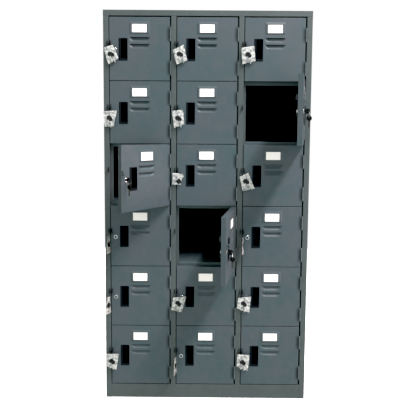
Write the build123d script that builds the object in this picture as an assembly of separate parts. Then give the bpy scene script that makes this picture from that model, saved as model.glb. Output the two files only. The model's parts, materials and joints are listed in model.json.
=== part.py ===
"""Eighteen-door steel locker: a folded sheet-metal cabinet with inset doors, cam locks,
padlock eyes and the keys of its doors, hung in small bags or left in the locks.

X runs across the front, +Y into the cabinet and +Z up, in millimetres.
The origin is on the floor, in the middle of the cabinet's footprint.
"""
from build123d import *
from math import radians, sin, tan
import os

# Cabinet
WIDTH = 953.0
HEIGHT = 1829.0
DEPTH = 457.0
COLUMNS = 3
ROWS = 6
SHEET = 0.8                 # cabinet sheet steel
BEND = 1.6                  # outside radius of the bends that show

# Front frame
STILE_FACE = 25.0           # outer uprights, folded from the side panels
POST_FACE = 24.0            # uprights between the columns
TOP_RAIL = 26.0
PLINTH = 66.0
TOP_CLEARANCE = 4.0         # top rail to the first row line
PLINTH_CLEARANCE = 2.0      # last row line to the plinth
STOP_FLANGE = 13.0          # flange behind the doors, on both sides of each opening
STOP_CLEARANCE = 2.0        # back of a shut door to that flange
REAR_FLANGE = 15.0
PLINTH_FOOT = 18.0          # flange turned in along the floor
RAIL_NOSE = 19.0            # top rail's stop, below the rail

# Shelves and floor
SHELF_RISE = 13.0           # shelf top above its row line
SHELF_NOSE = 28.0           # folded front edge, which also stops the door below
SHELF_LIP = 10.0            # turned back under the nose
SHELF_FLANGE = 15.0         # sides and rear
BASE_RAIL_WIDTH = 60.0      # channel under the middle of the floor

# Rivets that hold the shelves
RIVET_SHANK = 4.8
RIVET_HEAD = 9.5
RIVET_HEAD_HEIGHT = 1.3
RIVET_TAIL = 7.0
RIVET_TAIL_HEIGHT = 2.0
RIVET_INSET = 60.0          # from the shelf's front and rear edges
RIVET_CLEARANCE = 0.05      # radial, in the holes

# Doors
DOOR_SHEET = 0.8
DOOR_DEPTH = 22.0
DOOR_LIP = 9.0              # turned in behind the four flanges
LATCH_GAP = 3.0
HINGE_GAP = 6.0
ROW_GAP = 2.5
OPEN_DOORS = {(3, 1): 48.5, (4, 2): 78.0, (2, 3): 76.0}   # (row, column): degrees at rest

# Hinges
HINGE_HEIGHT = 62.0
HINGE_FROM_TOP = 46.0
HINGE_FROM_BOTTOM = 26.0
KNUCKLES = 3
KNUCKLE_RADIUS = 2.7
KNUCKLE_GAP = 0.3
PIN_RADIUS = 1.4
PIN_CLEARANCE = 0.05
PIN_HEAD_RADIUS = 2.4
PIN_HEAD_HEIGHT = 1.2
LEAF = 1.2
LEAF_DEPTH = 17.0

# Card holder, centred on the door
CARD_WINDOW_WIDTH = 67.0
CARD_WINDOW_HEIGHT = 37.0
CARD_CENTRE_DOWN = 50.5
HOLDER_SIDE = 12.0          # rim beside the window
HOLDER_TOP = 12.0           # rim above it
HOLDER_BOTTOM = 7.0         # rim below it
HOLDER_SHEET = 0.8
CARD_SLOT = 1.7             # room behind the holder's face
CARD_THICKNESS = 0.5
CARD_SIDE_PLAY = 0.5
HOLDER_EDGE = 4.0           # folded edge that stands on the door

# Louvres, pressed inwards below the card holder
LOUVRE_WIDTH = 98.0
LOUVRE_HEIGHT = 20.0
LOUVRE_DEPTH = 6.0
LOUVRE_TAPER = 9.0          # each end, over the louvre's height
LOUVRE_DOWN = 94.0          # door's top edge to the first slot
LOUVRE_PITCH = 30.5
LOUVRES = 2

# Recessed pull
PULL_LEFT = 42.5            # from the door's free edge
PULL_DOWN = 95.0
PULL_WIDTH = 41.0
PULL_HEIGHT = 101.0
PULL_CORNER = 3.0
PULL_BEZEL = 2.0            # bezel overlap round the hole in the door
PULL_PROUD = 1.2
PULL_DEPTH = 19.0
PULL_WALL = 1.6
PULL_LIP = 11.0             # finger lip at the left and at the bottom
PULL_RIM = 3.5              # edge at the right and at the top
PULL_LIP_THICKNESS = 2.4
PULL_FIT = 0.1              # between the cup and the hole's edge

# Cam lock
LOCK_IN = 23.0              # from the door's free edge
LOCK_DOWN = 147.5
LOCK_HEAD_RADIUS = 9.5
LOCK_HEAD_PROUD = 2.2
LOCK_CASE_RADIUS = 7.9
LOCK_HOLE_CLEARANCE = 0.1
LOCK_PLUG_RADIUS = 5.5
LOCK_PLUG_CLEARANCE = 0.05
LOCK_PLUG_PROUD = 0.5
LOCK_NUT_ACROSS_FLATS = 22.0
LOCK_NUT_HEIGHT = 4.0
KEYWAY_CLEARANCE = 0.2      # round the key's blade
KEYWAY_DEPTH = 20.0
CAM_CLEARANCE = 1.6         # behind the stop flange
CAM_THICKNESS = 2.0
CAM_WIDTH = 12.0
CAM_REACH = 24.0
CAM_SCREW_RADIUS = 2.0
CAM_SCREW_LENGTH = 7.0
CAM_SCREW_HEAD_RADIUS = 4.0
CAM_SCREW_HEAD_HEIGHT = 2.4

# Padlock eyes, one on the frame and one on each door
EYE_DOWN = 119.0
EYE_IN = 5.0                # from the frame's edge and from the door's edge
EYE_HEIGHT = 24.0
EYE_REACH = 15.0
EYE_THICKNESS = 2.0
EYE_HOLE_RADIUS = 4.0
EYE_HOLE_REACH = 9.0        # hole's centre, out from the sheet

# Spring catch on the back of the door, beside the stop flange
CATCH_DOWN = 92.0
CATCH_HEIGHT = 22.0
CATCH_REACH = 9.0
CATCH_THICKNESS = 0.8
CATCH_PLAY = 1.6

# Keys
KEY_BOW_RADIUS = 11.0
KEY_BOW_THICKNESS = 5.0
KEY_BOW_HOLE_RADIUS = 2.6
KEY_BOW_HOLE_IN = 4.5       # hole's centre, in from the bow's far edge
KEY_BLADE_WIDTH = 7.2
KEY_BLADE_THICKNESS = 2.0
KEY_BLADE_LENGTH = 27.0
KEY_STAND_OFF = 3.0         # bow to the plug's face
KEY_RING_RADIUS = 9.0
KEY_RING_WIRE = 0.8

# Key bags, on the doors that are shut
BAG_WIDTH = 60.0
BAG_LENGTH = 78.0
BAG_FOLDED = 54.0           # a bag whose top is folded down
BAG_THICKNESS = 4.0
BAG_FILM = 0.4
BAG_KEY_THICKNESS = 2.8
BAG_KEY_GAP = 2.0           # between the two keys in a bag
BAG_RING_RADIUS = 7.5
BAG_CLEARANCE = 1.0         # below the padlock eyes
BAG_STAND_OFF = 3.5         # turned bag to door
REST_CLEARANCE = 0.1        # what hangs or lies loose, off its seat
# How the bags happen to hang, by (row, column): sideways shift from the eye, lean in the
# door's plane in degrees, and length
FLAT_BAGS = {
    (1, 1): (-3.0, 18.0, BAG_LENGTH),
    (1, 2): (3.0, 14.0, BAG_LENGTH),
    (1, 3): (7.0, 5.0, BAG_LENGTH),
    (2, 1): (0.0, -4.0, BAG_LENGTH),
    (2, 2): (3.0, 7.0, BAG_LENGTH),
    (3, 2): (5.0, -3.0, BAG_FOLDED),
    (3, 3): (4.0, 12.0, BAG_LENGTH),
    (5, 2): (12.0, -8.0, BAG_LENGTH),
    (5, 3): (9.0, -6.0, BAG_LENGTH),
    (6, 1): (2.0, -3.0, BAG_LENGTH),
    (6, 3): (6.0, -3.0, BAG_LENGTH),
}
# Bags that hang edge-on, by (row, column): turn out of the door's plane, in degrees
TURNED_BAGS = {(4, 1): 72.0, (4, 3): 78.0, (5, 1): 62.0, (6, 2): 74.0}

# Lines and planes that the pieces share
front = -DEPTH / 2
back = DEPTH / 2
left = -WIDTH / 2
right = WIDTH / 2
opening = (WIDTH - 2 * STILE_FACE - (COLUMNS - 1) * POST_FACE) / COLUMNS
top_line = HEIGHT - TOP_RAIL - TOP_CLEARANCE
bottom_line = PLINTH + PLINTH_CLEARANCE
row_pitch = (top_line - bottom_line) / ROWS
stop_front = front + DOOR_DEPTH + STOP_CLEARANCE
stop_back = stop_front + SHEET
nose_back = stop_back + SHEET
rail_under = HEIGHT - TOP_RAIL
nose_under = rail_under - RAIL_NOSE
back_panel_front = back - 2 * SHEET
floor_top = bottom_line + SHELF_RISE

# A door in its own frame: hinge axis at x = 0, y = 0 on the front face, top edge at z = 0
door_width = opening - LATCH_GAP - HINGE_GAP
door_height = row_pitch - ROW_GAP
door_right = -HINGE_GAP / 2
door_left = door_right - door_width
lock_x = door_left + LOCK_IN
cam_front = stop_back - front + CAM_CLEARANCE
door_eye_x = door_left + EYE_IN
frame_eye_x = door_left - LATCH_GAP - EYE_IN
door_centre = (door_left + door_right) / 2


def slab(x0, x1, y0, y1, z0, z1):
    """A box between two opposite corners."""
    return Pos((x0 + x1) / 2, (y0 + y1) / 2, (z0 + z1) / 2) * Box(x1 - x0, y1 - y0, z1 - z0)


def rod_x(x0, x1, y, z, radius):
    return Pos((x0 + x1) / 2, y, z) * Rot(0, 90, 0) * Cylinder(radius, x1 - x0)


def rod_y(x, y0, y1, z, radius):
    return Pos(x, (y0 + y1) / 2, z) * Rot(90, 0, 0) * Cylinder(radius, y1 - y0)


def rod_z(x, y, z0, z1, radius):
    return Pos(x, y, (z0 + z1) / 2) * Cylinder(radius, z1 - z0)


def column_left(column):
    """Left edge of a column's opening; columns count from 1 at the left."""
    return left + STILE_FACE + (column - 1) * (opening + POST_FACE)


def column_right(column):
    return column_left(column) + opening


def post_centre(post):
    return column_right(post) + POST_FACE / 2


def row_line(row):
    """Lower line of a row; rows count from 1 at the top, and line 0 is the top line."""
    return top_line - row * row_pitch


def bay_sides(column):
    """Inner faces of the walls on both sides of a column."""
    bay_left = left + SHEET if column == 1 else post_centre(column - 1) + SHEET / 2
    bay_right = right - SHEET if column == COLUMNS else post_centre(column) - SHEET / 2
    return bay_left, bay_right


def door_place(row, column):
    """Where a door's own frame stands in the cabinet, turned to its rest angle."""
    hinge_x = column_right(column) - HINGE_GAP / 2
    door_top = row_line(row - 1) - ROW_GAP / 2
    return Pos(hinge_x, front, door_top) * Rot(0, 0, OPEN_DOORS.get((row, column), 0.0))


# Cabinet shell

def shelf_levels():
    """Tops of the shelves, which carry every row but the lowest."""
    return [row_line(row) + SHELF_RISE for row in range(1, ROWS)]


def rivet_rows():
    """Rivets through each shelf's side flanges: distance back, and height."""
    depths = (stop_back + RIVET_INSET, back_panel_front - RIVET_INSET)
    levels = shelf_levels() + [floor_top]
    return [(y, z - SHEET - SHELF_FLANGE / 2 + SHEET / 2) for z in levels for y in depths]


def rivet_holes(x0, x1, rows):
    radius = RIVET_SHANK / 2 + RIVET_CLEARANCE
    return [rod_x(x0, x1, y, z, radius) for y, z in rows]


def side_panel(side):
    """Side wall folded round into the front stile, its return and the door stop."""
    x = left
    wall = slab(x, x + SHEET, front, back, 0, rail_under)
    wall += slab(x, x + SHEET, front + SHEET, back - SHEET, rail_under, HEIGHT - SHEET)
    wall += slab(x, x + STILE_FACE, front, front + SHEET, 0, rail_under)
    wall += slab(x + STILE_FACE - SHEET, x + STILE_FACE, front, stop_back, 0, rail_under)
    wall += slab(x + STILE_FACE - SHEET, x + STILE_FACE + STOP_FLANGE, stop_front, stop_back,
                 0, rail_under)
    wall += slab(x, x + REAR_FLANGE, back - SHEET, back, 0, HEIGHT - REAR_FLANGE)
    corner = wall.edges().filter_by(Axis.Z).group_by(Axis.Y)[0].sort_by(Axis.X)[0]
    wall = fillet(corner, BEND)
    for hole in rivet_holes(x - SHEET, x + 2 * SHEET, rivet_rows()):
        wall -= hole
    return wall if side == "left" else mirror(wall, about=Plane.YZ)


def top_panel():
    """Top sheet with the front rail, the stop under it and a rear flange."""
    panel = slab(left, right, front, back, HEIGHT - SHEET, HEIGHT)
    panel += slab(left, right, front, front + SHEET, rail_under, HEIGHT)
    edge = panel.edges().filter_by(Axis.X).group_by(Axis.Y)[0].sort_by(Axis.Z)[-1]
    panel = fillet(edge, BEND)
    inner_left = left + SHEET
    panel += slab(inner_left, -inner_left, front, nose_back, rail_under, rail_under + SHEET)
    panel += slab(inner_left, -inner_left, stop_back, nose_back, nose_under, rail_under + SHEET)
    panel += slab(left, right, back - SHEET, back, HEIGHT - REAR_FLANGE, HEIGHT)
    return panel


def tray(x0, x1, top, nose):
    """Shelf or floor: a sheet folded down on all sides, with a lip behind its front nose."""
    y0 = stop_back
    y1 = back_panel_front
    piece = slab(x0, x1, y0, y1, top - SHEET, top)
    piece += slab(x0, x1, y0, y0 + SHEET, top - nose, top)
    piece += slab(x0, x1, y0, y0 + SHELF_LIP, top - nose, top - nose + SHEET)
    piece += slab(x0, x0 + SHEET, y0 + SHELF_LIP, y1, top - SHELF_FLANGE, top)
    piece += slab(x1 - SHEET, x1, y0 + SHELF_LIP, y1, top - SHELF_FLANGE, top)
    piece += slab(x0, x1, y1 - SHEET, y1, top - SHELF_FLANGE, top)
    return piece


def bottom_panel():
    """Floor of the lowest row, one sheet across the whole cabinet."""
    floor = tray(left + SHEET, right - SHEET, floor_top, SHELF_NOSE)
    rows = [place for place in rivet_rows() if place[1] < floor_top]
    for hole in rivet_holes(left, right, rows):
        floor -= hole
    return floor


def shelves(column):
    """The shelves of one column, each riveted to the walls beside it."""
    x0, x1 = bay_sides(column)
    group = []
    for top in shelf_levels():
        shelf = tray(x0, x1, top, SHELF_NOSE)
        rows = [place for place in rivet_rows() if top - SHELF_FLANGE < place[1] < top]
        for hole in rivet_holes(x0 - SHEET, x1 + SHEET, rows):
            shelf -= hole
        group.append(shelf)
    return group


def partition(post):
    """Wall between two columns; its front edge runs into the hollow of the post."""
    x = post_centre(post)
    wall = slab(x - SHEET / 2, x + SHEET / 2, front + SHEET, back_panel_front,
                floor_top, HEIGHT - SHEET)
    wall -= slab(x - SHEET, x + SHEET, front, nose_back, nose_under, HEIGHT)
    rows = [place for place in rivet_rows() if place[1] > floor_top]
    for hole in rivet_holes(x - SHEET, x + SHEET, rows):
        wall -= hole
    return wall


def front_post(post):
    """Hat-section upright between two columns, with a door stop on each side."""
    x = post_centre(post)
    half = POST_FACE / 2
    piece = slab(x - half, x + half, front, front + SHEET, PLINTH, rail_under)
    for side in (-1, 1):
        edge = x + side * half
        inner = edge - side * SHEET
        flange_end = edge + side * STOP_FLANGE
        piece += slab(min(edge, inner), max(edge, inner), front, stop_back, PLINTH, rail_under)
        piece += slab(min(inner, flange_end), max(inner, flange_end), stop_front, stop_back,
                      PLINTH, rail_under)
    return piece


def back_panel():
    """Flat sheet inside the rear flanges, above the rear plinth."""
    return slab(left + SHEET, right - SHEET, back_panel_front, back - SHEET,
                PLINTH, HEIGHT - SHEET)


def plinth_front():
    """Kick panel between the stiles: a channel that opens to the rear."""
    x0 = left + STILE_FACE
    face = slab(x0, -x0, front, front + SHEET, 0, PLINTH)
    face += slab(x0, -x0, front, stop_front, PLINTH - SHEET, PLINTH)
    face += slab(x0, -x0, front, front + PLINTH_FOOT, 0, SHEET)
    return face


def plinth_rear():
    """Rear channel between the side walls."""
    x0 = left + SHEET
    face = slab(x0, -x0, back_panel_front, back - SHEET, 0, PLINTH)
    face += slab(x0, -x0, back_panel_front - PLINTH_FOOT, back - SHEET, 0, SHEET)
    return face


def base_cross_rail():
    """Channel from plinth to plinth, which stands on the floor and carries the floor sheet."""
    half = BASE_RAIL_WIDTH / 2
    y0 = front + PLINTH_FOOT
    y1 = back_panel_front - PLINTH_FOOT
    web = slab(-half, half, y0, y1, 0, SHEET)
    for side in (-1, 1):
        edge = side * half
        inner = edge - side * SHEET
        web += slab(min(edge, inner), max(edge, inner), nose_back + SHELF_LIP, y1,
                    0, floor_top - SHEET)
        web += slab(min(edge, inner), max(edge, inner), y0, nose_back + SHELF_LIP,
                    0, floor_top - SHELF_NOSE)
    return web


def rivet(x, y, z, outwards, grip):
    """Blind rivet along X: domed head outside, shank through the sheets, tail inside."""
    head_end = x + outwards * RIVET_HEAD_HEIGHT
    inner = x - outwards * grip
    tail_end = inner - outwards * RIVET_TAIL_HEIGHT
    piece = rod_x(min(x, head_end), max(x, head_end), y, z, RIVET_HEAD / 2)
    piece += rod_x(min(x, inner), max(x, inner), y, z, RIVET_SHANK / 2)
    piece += rod_x(min(inner, tail_end), max(inner, tail_end), y, z, RIVET_TAIL / 2)
    return piece


def shelf_rivets():
    """Rivets through the side walls and through the partitions with a shelf on each side."""
    group = []
    for y, z in rivet_rows():
        group.append(rivet(left, y, z, -1, 2 * SHEET))
        group.append(rivet(right, y, z, 1, 2 * SHEET))
        if z < floor_top:
            continue
        for post in range(1, COLUMNS):
            x = post_centre(post) + 1.5 * SHEET
            group.append(rivet(x, y, z, 1, 3 * SHEET))
    return group


# Hinges

def hinge_tops():
    """Upper ends of a door's two hinges, down from its top edge."""
    return (-HINGE_FROM_TOP, -door_height + HINGE_FROM_BOTTOM + HINGE_HEIGHT)


def hinge_half(side, top):
    """One leaf and its knuckles. The frame's leaf is at side 1, with the first, third and
    every other knuckle. The door's leaf is at side -1, with those between."""
    step = HINGE_HEIGHT / KNUCKLES
    outer = side * HINGE_GAP / 2
    inner = outer - side * LEAF
    half = slab(min(outer, inner), max(outer, inner), 0, LEAF_DEPTH, top - HINGE_HEIGHT, top)
    for knuckle in range(KNUCKLES):
        upper = top - knuckle * step
        lower = upper - step
        if (knuckle % 2 == 0) == (side == 1):
            half += rod_z(0, 0, lower + KNUCKLE_GAP / 2, upper - KNUCKLE_GAP / 2,
                          KNUCKLE_RADIUS)
        else:
            half -= slab(-HINGE_GAP, HINGE_GAP, -KNUCKLE_RADIUS, KNUCKLE_RADIUS + KNUCKLE_GAP,
                         lower - KNUCKLE_GAP / 2, upper + KNUCKLE_GAP / 2)
    half -= rod_z(0, 0, top - HINGE_HEIGHT, top, PIN_RADIUS + PIN_CLEARANCE)
    return half


def hinge_pin(top):
    """Pin through the knuckles, headed at both ends."""
    pin = rod_z(0, 0, top - HINGE_HEIGHT, top, PIN_RADIUS)
    pin += rod_z(0, 0, top, top + PIN_HEAD_HEIGHT, PIN_HEAD_RADIUS)
    pin += rod_z(0, 0, top - HINGE_HEIGHT - PIN_HEAD_HEIGHT, top - HINGE_HEIGHT,
                 PIN_HEAD_RADIUS)
    return pin


# Doors

def prism(points, sweep):
    """Solid swept along a vector from a flat polygon of 3-D points."""
    return Solid.extrude(Face(Wire.make_polygon(points)), Vector(*sweep))


def louvre_wedge(down, wall, y0):
    """Wedge behind one slot: deep at the slot and running out to the door's face below it."""
    high = -down
    low = high - LOUVRE_HEIGHT
    half = LOUVRE_WIDTH / 2 + wall
    outline = prism([(door_centre - half, y0, high), (door_centre + half, y0, high),
                     (door_centre + half - LOUVRE_TAPER, y0, low),
                     (door_centre - half + LOUVRE_TAPER, y0, low)],
                    (0, LOUVRE_DEPTH + 2 * wall + 2 * DOOR_SHEET, 0))
    x0 = door_centre - LOUVRE_WIDTH
    slope = prism([(x0, y0, low), (x0, wall, low), (x0, LOUVRE_DEPTH + wall, high),
                   (x0, y0, high)], (2 * LOUVRE_WIDTH, 0, 0))
    return outline & slope


def door_panel():
    """Pressed tray: flat face, four flanges, lips behind them, and the holes for its fittings."""
    depth = DOOR_DEPTH
    panel = slab(door_left, door_right, 0, depth, -door_height, 0)
    panel -= slab(door_left + DOOR_SHEET, door_right - DOOR_SHEET, DOOR_SHEET,
                  depth - DOOR_SHEET, -door_height + DOOR_SHEET, -DOOR_SHEET)
    panel -= slab(door_left + DOOR_LIP, door_right - DOOR_LIP, DOOR_SHEET, depth,
                  -door_height + DOOR_LIP, -DOOR_LIP)
    for count in range(LOUVRES):
        down = LOUVRE_DOWN + count * LOUVRE_PITCH
        panel += louvre_wedge(down, DOOR_SHEET, 0)
        panel -= louvre_wedge(down, 0, -DOOR_SHEET)
    panel -= slab(*pull_hole(0), -DOOR_SHEET, depth, *pull_hole(1))
    panel -= rod_y(lock_x, -DOOR_SHEET, depth, -LOCK_DOWN, LOCK_CASE_RADIUS + LOCK_HOLE_CLEARANCE)
    return panel


def pull_hole(axis, inset=0.0):
    """Sides of the pull's hole in the door, along X (0) or Z (1)."""
    edge = PULL_BEZEL + inset
    if axis == 0:
        return door_left + PULL_LEFT + edge, door_left + PULL_LEFT + PULL_WIDTH - edge
    return -PULL_DOWN - PULL_HEIGHT + edge, -PULL_DOWN - edge


def recessed_pull():
    """Moulded cup with a bezel; its cavity runs behind the lip that the fingers pull on."""
    x0 = door_left + PULL_LEFT
    x1 = x0 + PULL_WIDTH
    z0 = -PULL_DOWN - PULL_HEIGHT
    z1 = -PULL_DOWN
    bezel = slab(x0, x1, -PULL_PROUD, 0, z0, z1)
    bezel = fillet(bezel.edges().filter_by(Axis.Y), PULL_CORNER)
    body_x = pull_hole(0, PULL_FIT)
    body_z = pull_hole(1, PULL_FIT)
    cup = bezel + slab(*body_x, 0, PULL_DEPTH, *body_z)
    floor = PULL_DEPTH - PULL_WALL
    cup -= slab(x0 + PULL_LIP, x1 - PULL_RIM, -PULL_PROUD, floor, z0 + PULL_LIP, z1 - PULL_RIM)
    cup -= slab(body_x[0] + PULL_WALL, x1 - PULL_RIM, PULL_LIP_THICKNESS, floor,
                z0 + PULL_LIP, z1 - PULL_RIM)
    return cup


def card_holder():
    """Folded steel frame, open at the top, with a window for the card."""
    half = CARD_WINDOW_WIDTH / 2 + HOLDER_SIDE
    z1 = -CARD_CENTRE_DOWN + CARD_WINDOW_HEIGHT / 2
    z0 = z1 - CARD_WINDOW_HEIGHT
    face_y = -CARD_SLOT - HOLDER_SHEET
    holder = slab(door_centre - half, door_centre + half, face_y, 0,
                  z0 - HOLDER_BOTTOM, z1 + HOLDER_TOP)
    holder -= slab(door_centre - half + HOLDER_EDGE, door_centre + half - HOLDER_EDGE,
                   -CARD_SLOT, 0, z0 - HOLDER_BOTTOM + HOLDER_EDGE, z1 + HOLDER_TOP)
    holder -= slab(door_centre - CARD_WINDOW_WIDTH / 2, door_centre + CARD_WINDOW_WIDTH / 2,
                   face_y, -CARD_SLOT, z0, z1)
    return holder


def name_card():
    """Blank card behind the holder's window."""
    half = CARD_WINDOW_WIDTH / 2 + HOLDER_SIDE - HOLDER_EDGE - CARD_SIDE_PLAY
    z1 = -CARD_CENTRE_DOWN + CARD_WINDOW_HEIGHT / 2 + HOLDER_TOP
    z0 = -CARD_CENTRE_DOWN - CARD_WINDOW_HEIGHT / 2 - HOLDER_BOTTOM + HOLDER_EDGE
    return slab(door_centre - half, door_centre + half, -CARD_SLOT,
                -CARD_SLOT + CARD_THICKNESS, z0, z1)


def lock_case():
    """Lock barrel through the door, with a round head outside."""
    case = rod_y(lock_x, -LOCK_HEAD_PROUD, 0, -LOCK_DOWN, LOCK_HEAD_RADIUS)
    case += rod_y(lock_x, 0, cam_front, -LOCK_DOWN, LOCK_CASE_RADIUS)
    case -= rod_y(lock_x, -LOCK_HEAD_PROUD, cam_front, -LOCK_DOWN,
                  LOCK_PLUG_RADIUS + LOCK_PLUG_CLEARANCE)
    return case


def lock_nut():
    """Hexagon nut that clamps the lock case behind the sheet."""
    hexagon = extrude(RegularPolygon(LOCK_NUT_ACROSS_FLATS / 2, 6, major_radius=False),
                      LOCK_NUT_HEIGHT)
    nut = Pos(lock_x, DOOR_SHEET + LOCK_NUT_HEIGHT, -LOCK_DOWN) * Rot(90, 0, 0) * hexagon
    return nut - rod_y(lock_x, 0, 2 * LOCK_NUT_HEIGHT, -LOCK_DOWN,
                       LOCK_CASE_RADIUS + LOCK_HOLE_CLEARANCE)


def lock_plug():
    """Key plug, the cam on its rear end and the screw that holds the cam."""
    plug = rod_y(lock_x, -LOCK_HEAD_PROUD - LOCK_PLUG_PROUD, cam_front, -LOCK_DOWN,
                 LOCK_PLUG_RADIUS)
    plug_face = -LOCK_HEAD_PROUD - LOCK_PLUG_PROUD
    keyway_side = KEY_BLADE_THICKNESS / 2 + KEYWAY_CLEARANCE
    keyway_rise = KEY_BLADE_WIDTH / 2 + KEYWAY_CLEARANCE
    plug -= slab(lock_x - keyway_side, lock_x + keyway_side, plug_face,
                 plug_face + KEYWAY_DEPTH, -LOCK_DOWN - keyway_rise, -LOCK_DOWN + keyway_rise)
    cam_back = cam_front + CAM_THICKNESS
    bore = rod_y(lock_x, cam_front - CAM_SCREW_LENGTH, cam_back, -LOCK_DOWN,
                 CAM_SCREW_RADIUS + LOCK_PLUG_CLEARANCE)
    cam = slab(lock_x - CAM_WIDTH / 2, lock_x + CAM_WIDTH / 2, cam_front, cam_back,
               -LOCK_DOWN - CAM_REACH, -LOCK_DOWN)
    cam += rod_y(lock_x, cam_front, cam_back, -LOCK_DOWN, CAM_WIDTH / 2)
    screw = rod_y(lock_x, cam_front - CAM_SCREW_LENGTH, cam_back, -LOCK_DOWN, CAM_SCREW_RADIUS)
    screw += rod_y(lock_x, cam_back, cam_back + CAM_SCREW_HEAD_HEIGHT, -LOCK_DOWN,
                   CAM_SCREW_HEAD_RADIUS)
    return [plug - bore, cam - bore, screw]


def padlock_eye(x):
    """D-shaped steel tab welded on edge, with a hole for a padlock's shackle."""
    straight = EYE_REACH - EYE_HEIGHT / 2
    x0 = x - EYE_THICKNESS / 2
    x1 = x + EYE_THICKNESS / 2
    eye = rod_x(x0, x1, -straight, -EYE_DOWN, EYE_HEIGHT / 2)
    eye += slab(x0, x1, -straight, 0, -EYE_DOWN - EYE_HEIGHT / 2, -EYE_DOWN + EYE_HEIGHT / 2)
    eye -= slab(x0, x1, 0, EYE_HEIGHT, -EYE_DOWN - EYE_HEIGHT, -EYE_DOWN + EYE_HEIGHT)
    return eye - rod_x(x0, x1, -EYE_HOLE_REACH, -EYE_DOWN, EYE_HOLE_RADIUS)


def spring_catch():
    """Bent strip on the door's rear lip whose tongue passes beside the stop flange."""
    x0 = door_left - LATCH_GAP + STOP_FLANGE + CATCH_PLAY
    z1 = -CATCH_DOWN + CATCH_HEIGHT / 2
    z0 = z1 - CATCH_HEIGHT
    y0 = DOOR_DEPTH
    foot_x = door_left + DOOR_SHEET
    catch = slab(x0, x0 + CATCH_THICKNESS, y0 - DOOR_SHEET, y0 + CATCH_REACH, z0, z1)
    catch += slab(foot_x, x0 + CATCH_THICKNESS, y0 - DOOR_SHEET - CATCH_THICKNESS,
                  y0 - DOOR_SHEET, z0, z1)
    return catch


def key(x, y, z, blade_length):
    """Flat key in the YZ plane: round bow centred on a point, blade along +Y."""
    bow = rod_x(x - KEY_BOW_THICKNESS / 2, x + KEY_BOW_THICKNESS / 2, y, z, KEY_BOW_RADIUS)
    bow -= rod_x(x - KEY_BOW_THICKNESS, x + KEY_BOW_THICKNESS,
                 y - KEY_BOW_RADIUS + KEY_BOW_HOLE_IN, z, KEY_BOW_HOLE_RADIUS)
    half = KEY_BLADE_WIDTH / 2
    reach = y + KEY_BOW_RADIUS + blade_length
    blade = slab(x - KEY_BLADE_THICKNESS / 2, x + KEY_BLADE_THICKNESS / 2, y, reach,
                 z - half, z + half)
    blade -= rod_x(x - KEY_BOW_THICKNESS, x + KEY_BOW_THICKNESS, y, z, KEY_BOW_RADIUS)
    return [bow, blade]


def ring(x, y, z, radius):
    """Wire ring that hangs in the XZ plane; z is the top of its centre line."""
    return Pos(x, y, z - radius) * Rot(90, 0, 0) * Torus(radius, KEY_RING_WIRE)


def keys_in_lock():
    """Key in the plug, the ring through its bow and the spare key that hangs from the ring."""
    plug_face = -LOCK_HEAD_PROUD - LOCK_PLUG_PROUD
    bow_y = plug_face - KEY_STAND_OFF - KEY_BOW_RADIUS
    blade = KEY_STAND_OFF + KEYWAY_DEPTH - REST_CLEARANCE
    pieces = key(lock_x, bow_y, -LOCK_DOWN, blade)
    hole_y = bow_y - KEY_BOW_RADIUS + KEY_BOW_HOLE_IN
    hang = KEY_BOW_HOLE_RADIUS - KEY_RING_WIRE - REST_CLEARANCE
    ring_z = -LOCK_DOWN - hang
    pieces.append(ring(lock_x, hole_y, ring_z, KEY_RING_RADIUS))
    spare_z = ring_z - 2 * KEY_RING_RADIUS - hang
    spare = key(0, 0, 0, KEY_BLADE_LENGTH)
    drop = spare_z - KEY_BOW_RADIUS + KEY_BOW_HOLE_IN
    pieces += [Pos(lock_x, hole_y, drop) * Rot(-90, 0, 0) * piece for piece in spare]
    return pieces


def bag_of_keys(length):
    """Film bag with two keys, hung from the middle of its top edge at the origin."""
    half = BAG_WIDTH / 2
    depth = BAG_THICKNESS / 2
    bag = slab(-half, half, -depth, depth, -length, 0)
    bag -= slab(-half + BAG_FILM, half - BAG_FILM, -depth + BAG_FILM, depth - BAG_FILM,
                -length + BAG_FILM, BAG_FILM)
    base = -length + BAG_FILM + REST_CLEARANCE
    thin = BAG_KEY_THICKNESS / 2
    pieces = [bag]
    for side in (-1, 1):
        x = side * (KEY_BOW_RADIUS + BAG_KEY_GAP / 2)
        bow_z = base + KEY_BOW_RADIUS if side > 0 else base + KEY_BLADE_LENGTH + KEY_BOW_RADIUS
        tip_z = bow_z + side * (KEY_BOW_RADIUS + KEY_BLADE_LENGTH)
        flat_key = rod_y(x, -thin, thin, bow_z, KEY_BOW_RADIUS)
        flat_key += slab(x - KEY_BLADE_WIDTH / 2, x + KEY_BLADE_WIDTH / 2, -thin, thin,
                         min(bow_z, tip_z), max(bow_z, tip_z))
        pieces.append(flat_key)
    return pieces


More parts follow.
